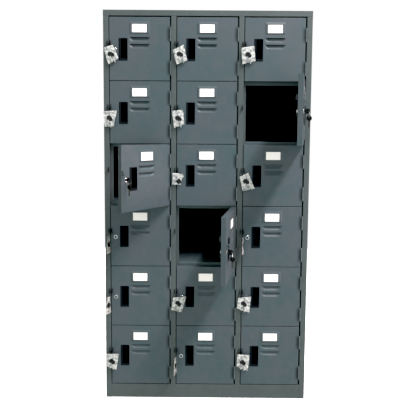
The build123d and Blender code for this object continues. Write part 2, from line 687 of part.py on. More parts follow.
def hung_bag(spot):
    """A door's bag of keys and the ring that carries it in the padlock eye."""
    ring_z = -EYE_DOWN - EYE_HOLE_RADIUS + KEY_RING_WIRE + REST_CLEARANCE
    hook = ring(door_eye_x, -EYE_HOLE_REACH, ring_z, BAG_RING_RADIUS)
    depth = BAG_THICKNESS / 2
    if spot in TURNED_BAGS:
        turn = TURNED_BAGS[spot]
        y = -BAG_WIDTH / 2 * sin(radians(turn)) - depth - BAG_STAND_OFF
        x = door_eye_x + (y + EYE_HOLE_REACH) / tan(radians(turn))
        z = ring_z - 2 * BAG_RING_RADIUS - KEY_RING_WIRE - REST_CLEARANCE
        place = Pos(x, y, z) * Rot(0, 0, turn)
        length = BAG_LENGTH
    else:
        shift, lean, length = FLAT_BAGS[spot]
        x = door_eye_x + shift
        y = -EYE_HOLE_REACH - KEY_RING_WIRE - REST_CLEARANCE - depth
        rise = max((eye_x - x) * tan(radians(lean)) for eye_x in (frame_eye_x, door_eye_x))
        z = -EYE_DOWN - EYE_HEIGHT / 2 - BAG_CLEARANCE - rise
        place = Pos(x, y, z) * Rot(0, -lean, 0)
    return [hook] + [place * piece for piece in bag_of_keys(length)]


# Writing the nodes

def save(name, pieces):
    group = pieces if isinstance(pieces, list) else [pieces]
    solids = [solid for piece in group for solid in piece.solids()]
    node = solids[0] if len(solids) == 1 else Compound(children=solids)
    export_step(node, os.path.join("parts", name + ".step"))


os.makedirs("parts", exist_ok=True)

save("side_panel_left", side_panel("left"))
save("side_panel_right", side_panel("right"))
save("top_panel", top_panel())
save("bottom_panel", bottom_panel())
save("back_panel", back_panel())
save("plinth_front", plinth_front())
save("plinth_rear", plinth_rear())
save("base_cross_rail", base_cross_rail())
save("shelf_rivets", shelf_rivets())
for post_number in range(1, COLUMNS):
    save(f"front_post_{post_number}", front_post(post_number))
    save(f"partition_{post_number}", partition(post_number))
for column_number in range(1, COLUMNS + 1):
    save(f"shelves_column_{column_number}", shelves(column_number))

frame_leaves = [hinge_half(1, top) for top in hinge_tops()]
pins = [hinge_pin(top) for top in hinge_tops()]
frame_eye = padlock_eye(frame_eye_x)
fittings = [door_panel(), recessed_pull(), card_holder(), name_card(), lock_case(), lock_nut(),
            padlock_eye(door_eye_x), spring_catch()]
fittings += [hinge_half(-1, top) for top in hinge_tops()]
plug_pieces = lock_plug()
key_pieces = keys_in_lock()

all_leaves = []
all_pins = []
all_eyes = []
for row_number in range(1, ROWS + 1):
    for column_number in range(1, COLUMNS + 1):
        spot = (row_number, column_number)
        name = f"r{row_number}c{column_number}"
        place = door_place(row_number, column_number)
        frame_place = Pos(place.position)
        all_leaves += [frame_place * piece for piece in frame_leaves]
        all_pins += [frame_place * piece for piece in pins]
        all_eyes.append(frame_place * frame_eye)
        door = list(fittings)
        if spot not in OPEN_DOORS:
            door += hung_bag(spot)
        save(f"door_{name}", [place * piece for piece in door])
        save(f"lock_{name}", [place * piece for piece in plug_pieces])
        if spot in OPEN_DOORS:
            save(f"keys_{name}", [place * piece for piece in key_pieces])
save("hinge_frame_leaves", all_leaves)
save("hinge_pins", all_pins)
save("padlock_eyes", all_eyes)
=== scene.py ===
"""Looks of an eighteen-door steel locker: powder-coated folded sheet, moulded pulls, chromed
cam locks, label cards, and the doors' keys in small bags or left in their locks.

Shapes are drawn in millimetres. X runs across the front, Y into the cabinet and Z up, and each
door is drawn in its own frame, with its hinge axis at x = 0, y = 0 and its top edge at z = 0.
"""
import json
import math

import bmesh
import bpy
from mathutils import Matrix, Vector, noise

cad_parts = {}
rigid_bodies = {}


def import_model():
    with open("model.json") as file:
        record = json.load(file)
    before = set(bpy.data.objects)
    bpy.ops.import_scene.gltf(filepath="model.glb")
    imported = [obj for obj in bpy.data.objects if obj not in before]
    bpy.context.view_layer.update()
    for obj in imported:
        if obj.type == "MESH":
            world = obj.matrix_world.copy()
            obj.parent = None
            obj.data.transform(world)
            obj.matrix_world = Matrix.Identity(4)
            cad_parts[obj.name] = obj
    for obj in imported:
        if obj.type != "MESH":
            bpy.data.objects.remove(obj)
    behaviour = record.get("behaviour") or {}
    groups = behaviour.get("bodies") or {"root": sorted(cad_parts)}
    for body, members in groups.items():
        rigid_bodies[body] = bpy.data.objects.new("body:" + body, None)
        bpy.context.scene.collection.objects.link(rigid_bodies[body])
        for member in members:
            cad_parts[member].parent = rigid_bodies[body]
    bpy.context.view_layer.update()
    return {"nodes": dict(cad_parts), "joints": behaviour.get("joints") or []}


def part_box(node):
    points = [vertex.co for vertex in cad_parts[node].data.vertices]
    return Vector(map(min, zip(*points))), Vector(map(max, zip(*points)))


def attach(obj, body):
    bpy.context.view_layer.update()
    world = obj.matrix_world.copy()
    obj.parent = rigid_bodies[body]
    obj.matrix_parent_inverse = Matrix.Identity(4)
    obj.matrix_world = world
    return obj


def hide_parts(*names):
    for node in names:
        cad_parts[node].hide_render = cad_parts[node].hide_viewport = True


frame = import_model()

# --- Side walls and front stiles -------------------------------------------------------------
# 0.8 mm cold-rolled sheet. Wall, stile, its return and the door stop are folded from one piece
# on a press brake, then degreased and powder coated with the rest of the cabinet.

# what is drawn in millimetres put into metres
MM = Matrix.Scale(0.001, 4)
SHEET = 0.8
BEND = 1.6
STILE_FACE = 25
STOP_FLANGE = 13
REAR_FLANGE = 15
TOP_RAIL = 26
DOOR_DEPTH = 22
STOP_GAP = 2

wall_low, wall_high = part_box("side_panel_left")
LEFT = wall_low.x * 1000
FRONT = wall_low.y * 1000
BACK = wall_high.y * 1000
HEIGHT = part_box("top_panel")[1].z * 1000
RAIL_UNDER = HEIGHT - TOP_RAIL
STOP_FRONT = FRONT + DOOR_DEPTH + STOP_GAP
STOP_BACK = STOP_FRONT + SHEET


def linear(hex_colour):
    """An sRGB hex colour as linear RGBA."""
    parts = [int(hex_colour[i:i + 2], 16) / 255 for i in (1, 3, 5)]
    return [c / 12.92 if c <= 0.04045 else ((c + 0.055) / 1.055) ** 2.4 for c in parts] + [1]


def feed(tree, node, inputs):
    """Gives a node its inputs, as values or as other nodes' outputs."""
    for name, value in inputs.items():
        if isinstance(value, bpy.types.NodeSocket):
            tree.links.new(value, node.inputs[name])
        else:
            node.inputs[name].default_value = value


def add(tree, kind, inputs=None, **settings):
    """A new node with its settings and inputs."""
    made = tree.nodes.new(kind)
    for name, value in settings.items():
        setattr(made, name, value)
    feed(tree, made, inputs or {})
    return made


def begun(name):
    """A new material, with its tree, its shader and the coordinates that its patterns follow."""
    material = bpy.data.materials.new(name)
    material.use_nodes = True
    tree = material.node_tree
    place = add(tree, "ShaderNodeTexCoord").outputs["Object"]
    return material, tree, tree.nodes["Principled BSDF"], place


def powder_coat(name, colour, shade, roughness=0.53, hinge_shade_colour=None):
    """Polyester powder coat, sprayed dry and baked: satin, with a fine orange peel that only
    shows in a glancing light, and faint cloudy patches where the film is thicker or handled.
    Where a mesh has a hinge shade attribute of 1 it turns to the hinge shade colour, a painted
    shade."""
    material, tree, shader, place = begun(name)
    cloud = add(tree, "ShaderNodeTexNoise", {"Vector": place, "Scale": 1 / 0.16, "Detail": 4.0,
                                             "Roughness": 0.6})
    smear = add(tree, "ShaderNodeTexNoise", {"Vector": place, "Scale": 1 / 0.035, "Detail": 6.0,
                                             "Roughness": 0.65})
    patch = add(tree, "ShaderNodeMath", {0: cloud.outputs["Fac"], 1: smear.outputs["Fac"]},
                operation="MULTIPLY")
    share = add(tree, "ShaderNodeMapRange", {"Value": patch.outputs[0], "From Min": 0.12,
                                             "From Max": 0.42})
    tint = add(tree, "ShaderNodeMix", {"Factor": share.outputs[0], "A": linear(colour),
                                       "B": linear(shade)}, data_type="RGBA")
    # a mesh attribute can turn the coat to a darker colour, used as painted shade beside the
    # hinges
    if hinge_shade_colour:
        grease = add(tree, "ShaderNodeAttribute", attribute_name="grease")
        tint = add(tree, "ShaderNodeMix", {"Factor": grease.outputs["Fac"],
                                           "A": tint.outputs["Result"], "B": linear(hinge_shade_colour)},
                   data_type="RGBA")
    dull = add(tree, "ShaderNodeMapRange", {"Value": smear.outputs["Fac"], "From Min": 0.3,
                                            "From Max": 0.7, "To Min": roughness - 0.05,
                                            "To Max": roughness + 0.07})
    # orange peel is 1 to 2 mm across, and 3 mm here so that it shows at all
    peel = add(tree, "ShaderNodeTexNoise", {"Vector": place, "Scale": 1 / 0.003, "Detail": 1.0})
    relief = add(tree, "ShaderNodeBump", {"Height": peel.outputs["Fac"], "Strength": 0.12,
                                          "Distance": 0.0001})
    feed(tree, shader, {"Base Color": tint.outputs["Result"], "Roughness": dull.outputs[0],
                        "Normal": relief.outputs[0], "IOR": 1.5, "Specular IOR Level": 0.36})
    return material


def opened(name, output, **inputs):
    """A new geometry node tree with its output and inputs, and what its input node gives."""
    tree = bpy.data.node_groups.new(name, "GeometryNodeTree")
    for label, kind in inputs.items():
        tree.interface.new_socket(label.replace("_", " "), in_out="INPUT",
                                  socket_type=f"NodeSocket{kind}")
    tree.interface.new_socket(output, in_out="OUTPUT", socket_type="NodeSocketGeometry")
    return tree, add(tree, "NodeGroupInput").outputs


def closed(tree, geometry, finish, output):
    """Ends a tree with its copies made real and its finish on them."""
    whole = add(tree, "GeometryNodeRealizeInstances", {"Geometry": geometry})
    done = add(tree, "GeometryNodeSetMaterial", {"Geometry": whole.outputs[0],
                                                 "Material": finish})
    add(tree, "NodeGroupOutput", {output: done.outputs[0]})
    return tree


def folding():
    """Node tree that turns an outline into a bent sheet: fillets its corners and sweeps it."""
    tree, given = opened("Folded sheet", "Sheet", Outline="Geometry", Bend_radius="Float",
                         Length="Float", Finish="Material")
    line = add(tree, "GeometryNodeMeshToCurve", {"Mesh": given["Outline"]})
    bent = add(tree, "GeometryNodeFilletCurve", {"Curve": line.outputs[0], "Count": 5,
                                                 "Radius": given["Bend radius"]}, mode="POLY")
    edge = add(tree, "GeometryNodeCurveToMesh", {"Curve": bent.outputs[0]})
    sweep = add(tree, "ShaderNodeCombineXYZ", {"Z": given["Length"]})
    swept = add(tree, "GeometryNodeExtrudeMesh", {"Mesh": edge.outputs[0],
                                                  "Offset": sweep.outputs[0]}, mode="EDGES")
    return closed(tree, swept.outputs["Mesh"], given["Finish"], "Sheet")


def put(name, data):
    """A new object in the scene."""
    piece = bpy.data.objects.new(name, data)
    bpy.context.scene.collection.objects.link(piece)
    return piece


def grow(name, mesh, tree, **inputs):
    """Runs a node tree on a mesh and returns the object. Inputs are given by socket name."""
    piece = put(name, mesh)
    modifier = piece.modifiers.new("Make", "NODES")
    modifier.node_group = tree
    for item in tree.interface.items_tree:
        label = item.name.lower().replace(" ", "_")
        if item.in_out == "INPUT" and label in inputs:
            modifier[item.identifier] = inputs[label]
    return piece


def baked(piece):
    """Swaps a piece's mesh for the one its modifiers make of it."""
    graph = bpy.context.evaluated_depsgraph_get()
    mesh = bpy.data.meshes.new_from_object(piece.evaluated_get(graph))
    piece.modifiers.clear()
    piece.data = mesh
    return piece


def smoothed(piece, soft_angle=35):
    """Smooth shading but for real edges, with the bends' shading kept off the flats."""
    piece.data.shade_smooth()
    piece.data.set_sharp_from_angle(angle=math.radians(soft_angle))
    flats = piece.modifiers.new("Flat faces", "WEIGHTED_NORMAL")
    flats.keep_sharp = True
    return baked(piece)


def settle(piece, soft_angle=35, place=None):
    """Turns a piece and its modifiers into a plain mesh, smooth but for its real edges."""
    baked(piece)
    if place is not None:
        piece.data.transform(place)
    return smoothed(piece, soft_angle)


def thickened(piece, thickness, offset=-1):
    """Gives a sheet its thickness, on the side away from its faces."""
    wall = piece.modifiers.new("Thickness", "SOLIDIFY")
    wall.thickness = thickness
    wall.offset = offset
    wall.use_even_offset = True
    return piece


# a sheet folded in plan, laid down to run across the front
ACROSS = Matrix(((0, 0, 1, 0), (1, 0, 0, 0), (0, 1, 0, 0), (0, 0, 0, 1)))


def folded(name, outline, start, end, finish, across=False, bend=BEND):
    """A sheet folded along an outline of its outer face, from start to end. The outline is in
    plan, or in side view for a piece that runs across, and its metal lies on its left."""
    mesh = bpy.data.meshes.new(name)
    mesh.from_pydata([(x, y, start) for x, y in outline],
                     [(i, i + 1) for i in range(len(outline) - 1)], [])
    piece = baked(grow(name, mesh, FOLDING, bend_radius=bend, length=end - start,
                       finish=finish))
    shell = bmesh.new()
    shell.from_mesh(piece.data)
    bmesh.ops.remove_doubles(shell, verts=shell.verts, dist=0.01)
    first = min(shell.faces, key=lambda f: (f.calc_center_median()
                                            - Vector((*outline[0], start))).length)
    along = Vector(outline[1]) - Vector(outline[0])
    if first.normal.xy.dot(Vector((along.y, -along.x))) < 0:
        bmesh.ops.reverse_faces(shell, faces=shell.faces)
    shell.to_mesh(piece.data)
    shell.free()
    return settle(thickened(piece, SHEET), place=MM @ ACROSS if across else MM)


def shaped(name, shell, finish):
    """A shell as an object, still as it was drawn."""
    mesh = bpy.data.meshes.new(name)
    shell.to_mesh(mesh)
    shell.free()
    mesh.materials.append(finish)
    return put(name, mesh)


def joined(name, pieces):
    """Several sheets with one finish as one object."""
    whole = bmesh.new()
    for piece in pieces:
        whole.from_mesh(piece.data)
    result = smoothed(shaped(name, whole, pieces[0].data.materials[0]))
    for piece in pieces:
        bpy.data.objects.remove(piece)
    return result


def fitted(piece, body, slot, *nodes):
    """Puts a finished piece on its body, in place of CAD nodes."""
    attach(piece, body)
    if nodes:
        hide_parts(*nodes)
    return piece


FOLDING = folding()
FRAME_PAINT = powder_coat("Powder coat, frame", "#4A5254", "#434A4B")

for side, name in ((1, "left"), (-1, "right")):
    outline = [(LEFT + REAR_FLANGE, BACK), (LEFT, BACK), (LEFT, FRONT),
               (LEFT + STILE_FACE, FRONT), (LEFT + STILE_FACE, STOP_FRONT),
               (LEFT + STILE_FACE + STOP_FLANGE, STOP_FRONT)]
    wall_top = [(LEFT, BACK - SHEET), (LEFT, FRONT + SHEET)]
    if side < 0:
        outline = [(-x, y) for x, y in reversed(outline)]
        wall_top = [(-x, y) for x, y in reversed(wall_top)]
    wall = joined(f"side_wall_{name}", [
        folded(f"wall_{name}", outline, 0, RAIL_UNDER, FRAME_PAINT),
        folded(f"wall_top_{name}", wall_top, RAIL_UNDER, HEIGHT - SHEET, FRAME_PAINT)])
    fitted(wall, "cabinet", "cabinet_paint", f"side_panel_{name}")

# --- Top, posts and plinth -------------------------------------------------------------------
# The same 0.8 mm sheet. The top is folded down into the front rail and its door stop, the
# posts are hat sections, and the plinth is a channel that closes the front below the floor.

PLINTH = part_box("plinth_front")[1].z * 1000
PLINTH_FOOT = 18
POST_FACE = 24
RAIL_NOSE = 19

top_sheet = [(BACK, HEIGHT - REAR_FLANGE), (BACK, HEIGHT), (FRONT, HEIGHT),
             (FRONT, RAIL_UNDER), (STOP_BACK - BEND, RAIL_UNDER)]
top_stop = [(STOP_FRONT, RAIL_UNDER), (STOP_BACK, RAIL_UNDER),
            (STOP_BACK, RAIL_UNDER - RAIL_NOSE)]
top = joined("top", [
    folded("top_sheet", top_sheet, LEFT, -LEFT, FRAME_PAINT, across=True),
    folded("top_stop", top_stop, LEFT + SHEET, -LEFT - SHEET, FRAME_PAINT, across=True,
           bend=SHEET)])
fitted(top, "cabinet", "cabinet_paint", "top_panel")

for number in (1, 2):
    centre = sum(corner.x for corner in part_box(f"front_post_{number}")) * 1000 / 2
    half = POST_FACE / 2
    hat = [(centre - half - STOP_FLANGE, STOP_FRONT), (centre - half, STOP_FRONT),
           (centre - half, FRONT), (centre + half, FRONT), (centre + half, STOP_FRONT),
           (centre + half + STOP_FLANGE, STOP_FRONT)]
    post = folded(f"post_{number}", hat, PLINTH, RAIL_UNDER, FRAME_PAINT)
    fitted(post, "cabinet", "cabinet_paint", f"front_post_{number}")

channel = [(STOP_FRONT, PLINTH), (FRONT, PLINTH), (FRONT, 0), (FRONT + PLINTH_FOOT, 0)]
plinth = folded("plinth", channel, LEFT + STILE_FACE, -LEFT - STILE_FACE, FRAME_PAINT,
                across=True)
fitted(plinth, "cabinet", "cabinet_paint", "plinth_front")

# --- Shelves, partitions and back ------------------------------------------------------------
# Folded trays riveted to the walls. The partitions and the floor are painted near-black, a
# painted shade for the dark deep inside the compartments. The back, the rear plinth and the cross
# rail have the frame's full coat.

# near-black, as painted shade inside the compartments
SHADED_INSIDE_PAINT = powder_coat("Powder coat, thin inside", "#1C2021", "#171A1B", roughness=0.6)
SHELF_PAINT = powder_coat("Powder coat, shelves", "#48565A", "#3F4C4F")
SHELF_NOSE = 28
SHELF_LIP = 10
SHELF_FLANGE = 15
SHELF_RISE = 13
REAR_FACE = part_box("back_panel")[0].y * 1000
ROWS = 6
ROW_PITCH = 288.5
TOP_GAP = 4
TOP_LINE = RAIL_UNDER - TOP_GAP
POST_CENTRES = [sum(corner.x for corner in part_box(f"partition_{number}")) * 1000 / 2
                for number in (1, 2)]


def box_sheet(x0, x1, y0, y1, z0, z1):
    """A plain strip of sheet as a closed box, put in its place from sizes in millimetres."""
    shell = bmesh.new()
    bmesh.ops.create_cube(shell, size=1)
    size = Matrix.Diagonal((x1 - x0, y1 - y0, z1 - z0, 1))
    middle = Matrix.Translation(((x0 + x1) / 2, (y0 + y1) / 2, (z0 + z1) / 2))
    shell.transform(MM @ middle @ size)
    return shell


bays = list(zip([LEFT + SHEET] + [x + SHEET / 2 for x in POST_CENTRES],
                [x - SHEET / 2 for x in POST_CENTRES] + [-LEFT - SHEET]))
for column, (x0, x1) in enumerate(bays, 1):
    sheets = []
    for row in range(1, ROWS):
        shelf_top = TOP_LINE - row * ROW_PITCH + SHELF_RISE
        tray = [(REAR_FACE, shelf_top - SHELF_FLANGE), (REAR_FACE, shelf_top),
                (STOP_BACK, shelf_top), (STOP_BACK, shelf_top - SHELF_NOSE),
                (STOP_BACK + SHELF_LIP, shelf_top - SHELF_NOSE)]
        sheets.append(folded(f"tray_{column}_{row}", tray, x0, x1, SHELF_PAINT, across=True))
        for x in (x0, x1 - SHEET):
            flange = box_sheet(x, x + SHEET, STOP_BACK + SHELF_LIP, REAR_FACE - SHEET,
                               shelf_top - SHELF_FLANGE, shelf_top - SHEET)
            sheets.append(shaped("flange", flange, SHELF_PAINT))
    fitted(joined(f"shelves_{column}", sheets), "cabinet", "inside_paint",
           f"shelves_column_{column}")

for name, finish in (("partition_1", SHADED_INSIDE_PAINT), ("partition_2", SHADED_INSIDE_PAINT),
                     ("bottom_panel", SHADED_INSIDE_PAINT), ("back_panel", FRAME_PAINT),
                     ("plinth_rear", FRAME_PAINT), ("base_cross_rail", FRAME_PAINT)):
    frame["nodes"][name].data.materials.clear()
    frame["nodes"][name].data.materials.append(finish)

# --- Rivets and spot welds -------------------------------------------------------------------
# Domed steel blind rivets hold every shelf to the walls beside it. They are zinc plated, and
# set after the shell is painted. The back is spot welded along its edges, which leaves round
# marks of 6 mm under the paint.

RIVET_INSET = 60
RIVET_RADIUS = 4.75
RIVET_DOME = 1.3
WELD_PITCH = 75
WELD_IN = 7
WELD_END = 30
WELD_RADIUS = 3
WELD_PROUD = 0.3


def plated(name, colour, smoothest, roughest, patch, detail):
    """A plated metal whose gloss varies in patches of a size in metres."""
    material, tree, shader, place = begun(name)
    grain = add(tree, "ShaderNodeTexNoise", {"Vector": place, "Scale": 1 / patch,
                                             "Detail": detail})
    spread = add(tree, "ShaderNodeMapRange", {"Value": grain.outputs["Fac"],
                                              "To Min": smoothest, "To Max": roughest})
    feed(tree, shader, {"Base Color": linear(colour), "Metallic": 1.0,
                        "Roughness": spread.outputs[0]})
    return material


def zinc_plate(name, colour, roughness):
    """Bright zinc plate: pale, faintly blue, with a fine grain that softens its reflections."""
    return plated(name, colour, roughness - 0.08, roughness + 0.08, 0.0015, 3.0)


def doming():
    """Node tree that sets a domed head on every point, facing along X."""
    tree, given = opened("Domed heads", "Heads", Places="Geometry", Head_radius="Float",
                         Dome_height="Float", Finish="Material")
    ball = add(tree, "GeometryNodeMeshUVSphere", {"Segments": 20, "Rings": 10, "Radius": 1.0})
    flat = add(tree, "ShaderNodeCombineXYZ", {"X": given["Dome height"],
                                              "Y": given["Head radius"],
                                              "Z": given["Head radius"]})
    dome = add(tree, "GeometryNodeTransform", {"Geometry": ball.outputs["Mesh"],
                                               "Scale": flat.outputs[0]})
    heads = add(tree, "GeometryNodeInstanceOnPoints", {"Points": given["Places"],
                                                       "Instance": dome.outputs[0]})
    return closed(tree, heads.outputs[0], given["Finish"], "Heads")


def points(places):
    """A mesh of loose points, from places in millimetres."""
    mesh = bpy.data.meshes.new("places")
    mesh.from_pydata([tuple(v / 1000 for v in place) for place in places], [], [])
    return mesh


DOMING = doming()
RIVET_ZINC = zinc_plate("Zinc plate, rivets", "#8C9094", 0.42)
levels = [TOP_LINE - row * ROW_PITCH + SHELF_RISE - SHELF_FLANGE / 2 - SHEET / 2
          for row in range(1, ROWS + 1)]
rivet_places = [(x, y, z) for z in levels
                for y in (STOP_BACK + RIVET_INSET, REAR_FACE - RIVET_INSET)
                for x in (LEFT, -LEFT, *(POST_CENTRES if z > levels[-1] else ()))]
rivets = settle(grow("rivets", points(rivet_places), DOMING, head_radius=RIVET_RADIUS / 1000,
                     dome_height=(RIVET_DOME + SHEET / 2) / 1000, finish=RIVET_ZINC))
fitted(rivets, "cabinet", "zinc", "shelf_rivets")

weld_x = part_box("back_panel")[0].x * 1000 + WELD_IN
# a head faces along X, so the places are laid out a quarter turn back and then turned
weld_places = [(BACK, side * weld_x, z) for side in (-1, 1)
               for z in range(int(PLINTH) + WELD_END, int(HEIGHT) - WELD_END, WELD_PITCH)]
welds = settle(grow("spot_welds", points(weld_places), DOMING, head_radius=WELD_RADIUS / 1000,
                    dome_height=WELD_PROUD / 1000, finish=FRAME_PAINT),
               place=Matrix.Rotation(math.radians(90), 4, "Z"))
fitted(welds, "cabinet", "cabinet_paint")

# --- Hinges ----------------------------------------------------------------------------------
# Rolled steel butt hinges, welded into the gap beside each door and painted with it. The
# frame's leaf has the outer knuckles and the door's leaf the middle one, on one headed pin.

HINGE_GAP = 6
HINGE_HEIGHT = 62
HINGE_FROM_TOP = 46
HINGE_FROM_BOTTOM = 26
KNUCKLE = 2.7
KNUCKLE_EDGE = 0.35
KNUCKLE_GAP = 0.3
LEAF = 1.2
LEAF_DEPTH = 17
PIN = 1.4
PIN_HEAD = 2.4
PIN_HEAD_HEIGHT = 1.2
DOOR_HEIGHT = 286
HINGE_TOPS = (-HINGE_FROM_TOP, -DOOR_HEIGHT + HINGE_FROM_BOTTOM + HINGE_HEIGHT)

hinges = {joint["child"]: joint for joint in frame["joints"] if joint["parent"] == "cabinet"}
SPOTS = sorted(body[len("door_"):] for body in hinges)
OPEN_SPOTS = [spot for spot in SPOTS if hinges[f"door_{spot}"]["range_deg"][0] < -1]


def door_stand(spot):
    """Where a door's own frame stands at rest, from its hinge joint, in millimetres."""
    joint = hinges[f"door_{spot}"]
    x, y, z = (1000 * v for v in joint["pos_m"])
    turn = Matrix.Rotation(-math.radians(joint["range_deg"][0]), 4, "Z")
    return Matrix.Translation((x, y, z + DOOR_HEIGHT / 2)) @ turn


def skin(shell, rows, ends=(), loop=True):
    """Faces from each row of corners to the next and over the end rows that are named, 0 or -1.
    Each row is a loop, and the faces are turned outwards, unless the rows are open."""
    made = [shell.faces.new(rows[end]) for end in ends]
    for lower, upper in zip(rows, rows[1:]):
        for i in range(len(lower) if loop else len(lower) - 1):
            j = (i + 1) % len(lower)
            corners = dict.fromkeys((lower[i], lower[j], upper[j], upper[i]))
            made.append(shell.faces.new(list(corners)))
    if loop:
        bmesh.ops.recalc_face_normals(shell, faces=made)
    return shell


# what stands along Z laid to point into the cabinet, along Y
FACING_IN = Matrix.Rotation(math.radians(-90), 4, "X")


def directions(sides, *between):
    """Directions round a circle in equal steps, with more angles between them if need be."""
    angles = sorted([2 * math.pi * i / sides for i in range(sides)] + list(between))
    return [Vector((math.cos(a), math.sin(a))) for a in angles]


def lathe(shell, profile, sides, centre=(0, 0, 0), inwards=False):
    """A turned shape, upright or pointing into the cabinet. Profile points are (distance along
    its axis, radius), and a radius of 0 closes an end."""
    place = Matrix.Translation(centre) @ (FACING_IN if inwards else Matrix.Identity(4))
    rings = []
    for along, radius in profile:
        if radius == 0:
            rings.append([shell.verts.new(place @ Vector((0, 0, along)))] * sides)
        else:
            rings.append([shell.verts.new(place @ Vector((*way * radius, along)))
                          for way in directions(sides)])
    skin(shell, rings)


def hinge_leaf(side):
    """One half of a hinge, its upper end at z = 0. Side 1 is the frame's half, with the outer
    knuckles, and side -1 the door's."""
    shell = bmesh.new()
    step = HINGE_HEIGHT / 3
    for count in range(3):
        upper = -count * step - KNUCKLE_GAP / 2
        lower = upper - step + KNUCKLE_GAP
        own = (count % 2 == 0) == (side == 1)
        start = 0 if own else KNUCKLE + KNUCKLE_GAP
        x0, x1 = sorted((side * HINGE_GAP / 2, side * (HINGE_GAP / 2 - LEAF)))
        plate = [(x0, start), (x1, start), (x1, LEAF_DEPTH), (x0, LEAF_DEPTH)]
        skin(shell, [[shell.verts.new((x, y, z)) for x, y in plate]
                     for z in (lower - KNUCKLE_GAP / 2, upper + KNUCKLE_GAP / 2)], (0, -1))
        if own:
            rim = KNUCKLE - KNUCKLE_EDGE
            lathe(shell, [(lower, 0), (lower, rim), (lower + KNUCKLE_EDGE, KNUCKLE),
                          (upper - KNUCKLE_EDGE, KNUCKLE), (upper, rim), (upper, 0)], 20)
    return shell


def hinge_pin():
    """The pin's two rounded heads; its shank is inside the knuckles."""
    shell = bmesh.new()
    for end, height in ((0, PIN_HEAD_HEIGHT), (-HINGE_HEIGHT, -PIN_HEAD_HEIGHT)):
        lathe(shell, [(end - height, 0), (end - height, PIN), (end, PIN), (end, PIN_HEAD),
                      (end + height * 0.5, PIN_HEAD), (end + height * 0.85, PIN_HEAD * 0.8),
                      (end + height, PIN_HEAD * 0.4), (end + height, 0)], 20)
    return shell


def setting_out():
    """Node tree that sets a copy of one shape at every point."""
    tree, given = opened("Set out along the frame", "Copies", Places="Geometry",
                         Shape="Object", Scale="Float", Finish="Material")
    shape = add(tree, "GeometryNodeObjectInfo", {"Object": given["Shape"]})
    copies = add(tree, "GeometryNodeInstanceOnPoints", {"Points": given["Places"],
                                                        "Instance": shape.outputs["Geometry"],
                                                        "Scale": given["Scale"]})
    return closed(tree, copies.outputs[0], given["Finish"], "Copies")


SETTING_OUT = setting_out()
# the doors' coat turns near-black beside each hinge, as painted shade
DOOR_PAINT = powder_coat("Powder coat, doors", "#4A5057", "#3B4D52", hinge_shade_colour="#0E1519")
# the hinges' coat is lighter and glossier than the frame's, a painted highlight on the knuckles
HINGE_PAINT = powder_coat("Powder coat, rubbed on hinges", "#5E696E", "#4D585D",
                          roughness=0.34)
PIN_ZINC = zinc_plate("Zinc plate, hinge pins", "#9A9EA2", 0.35)


def set_out(name, shell, places, finish):
    """Copies of a shape at places on the frame, as one piece."""
    shape = shaped("shape", shell, finish)
    piece = settle(grow(name, points(places), SETTING_OUT, shape=shape, scale=1 / 1000,
                        finish=finish))
    bpy.data.objects.remove(shape)
    return piece


hinge_places = [door_stand(spot).translation + Vector((0, 0, top))
                for spot in SPOTS for top in HINGE_TOPS]
fitted(set_out("hinge_leaves", hinge_leaf(1), hinge_places, HINGE_PAINT), "cabinet",
       "hinge_paint", "hinge_frame_leaves")
fitted(set_out("hinge_pin_heads", hinge_pin(), hinge_places, PIN_ZINC), "cabinet", "zinc",
       "hinge_pins")

# --- Padlock eyes ----------------------------------------------------------------------------
# D-shaped tabs of 2 mm steel, punched, deburred and welded on edge: one to the frame and one to
# the door of each pair. They are painted near-black, as painted shade for the dark of the bag
# rings and their shadows round the eyes; the eyes on open doors keep the door's coat.

DOOR_WIDTH = 276
DOOR_RIGHT = -HINGE_GAP / 2
DOOR_LEFT = DOOR_RIGHT - DOOR_WIDTH
LATCH_GAP = 3
EYE_IN = 5
EYE_DOWN = 119
EYE_HEIGHT = 24
EYE_REACH = 15
EYE_THICKNESS = 2
EYE_HOLE = 4
EYE_HOLE_OUT = 9
# near-black, as painted shade round the padlock eyes
EYE_PAINT = powder_coat("Powder coat, blackened by shackles", "#0A0C0E", "#050607",
                        roughness=0.5)


def pierced(shell, rim, hole, thickness, place, edge=0.4):
    """A flat plate with a hole and eased edges. Rim and hole are (x, y) points in step with each
    other, and the plate lies between z = 0 and its thickness before it is put in its place."""
    middle = Vector((sum(x for x, y in hole), sum(y for x, y in hole))) / len(hole)
    rows = [(edge, hole, 0), (0, hole, edge), (0, rim, -edge), (edge, rim, 0),
            (thickness - edge, rim, 0), (thickness, rim, -edge), (thickness, hole, edge),
            (thickness - edge, hole, 0)]
    loops = []
    for z, line, push in rows:
        moved = [Vector(point) + (Vector(point) - middle).normalized() * push for point in line]
        loops.append([shell.verts.new(place @ Vector((p.x, p.y, z))) for p in moved])
    return skin(shell, [*loops, loops[0]])


def until(start, way, inside):
    """The point where a straight line from a start leaves a shape, found by halving."""
    near, far = 0.0, 100.0
    for _ in range(30):
        middle = (near + far) / 2
        if inside(*(start + way * middle)):
            near = middle
        else:
            far = middle
    return start + way * near


# plate drawn in (out, up) put upright on edge across x = 0
ON_EDGE = Matrix(((0, 0, 1, 0), (-1, 0, 0, 0), (0, 1, 0, 0), (0, 0, 0, 1)))


def padlock_eye():
    """A tab in the YZ plane, centred on x = 0 and z = 0, its foot at y = 0."""
    half = EYE_HEIGHT / 2
    straight = EYE_REACH - half
    centre = Vector((EYE_HOLE_OUT, 0))
    ways = directions(30)
    rim = [until(centre, way, lambda out, up: 0 <= out and abs(up) <= half
                 and (out < straight or math.hypot(out - straight, up) <= half))
           for way in ways]
    hole = [centre + way * EYE_HOLE for way in ways]
    place = Matrix.Translation((-EYE_THICKNESS / 2, 0, 0)) @ ON_EDGE
    return pierced(bmesh.new(), rim, hole, EYE_THICKNESS, place)


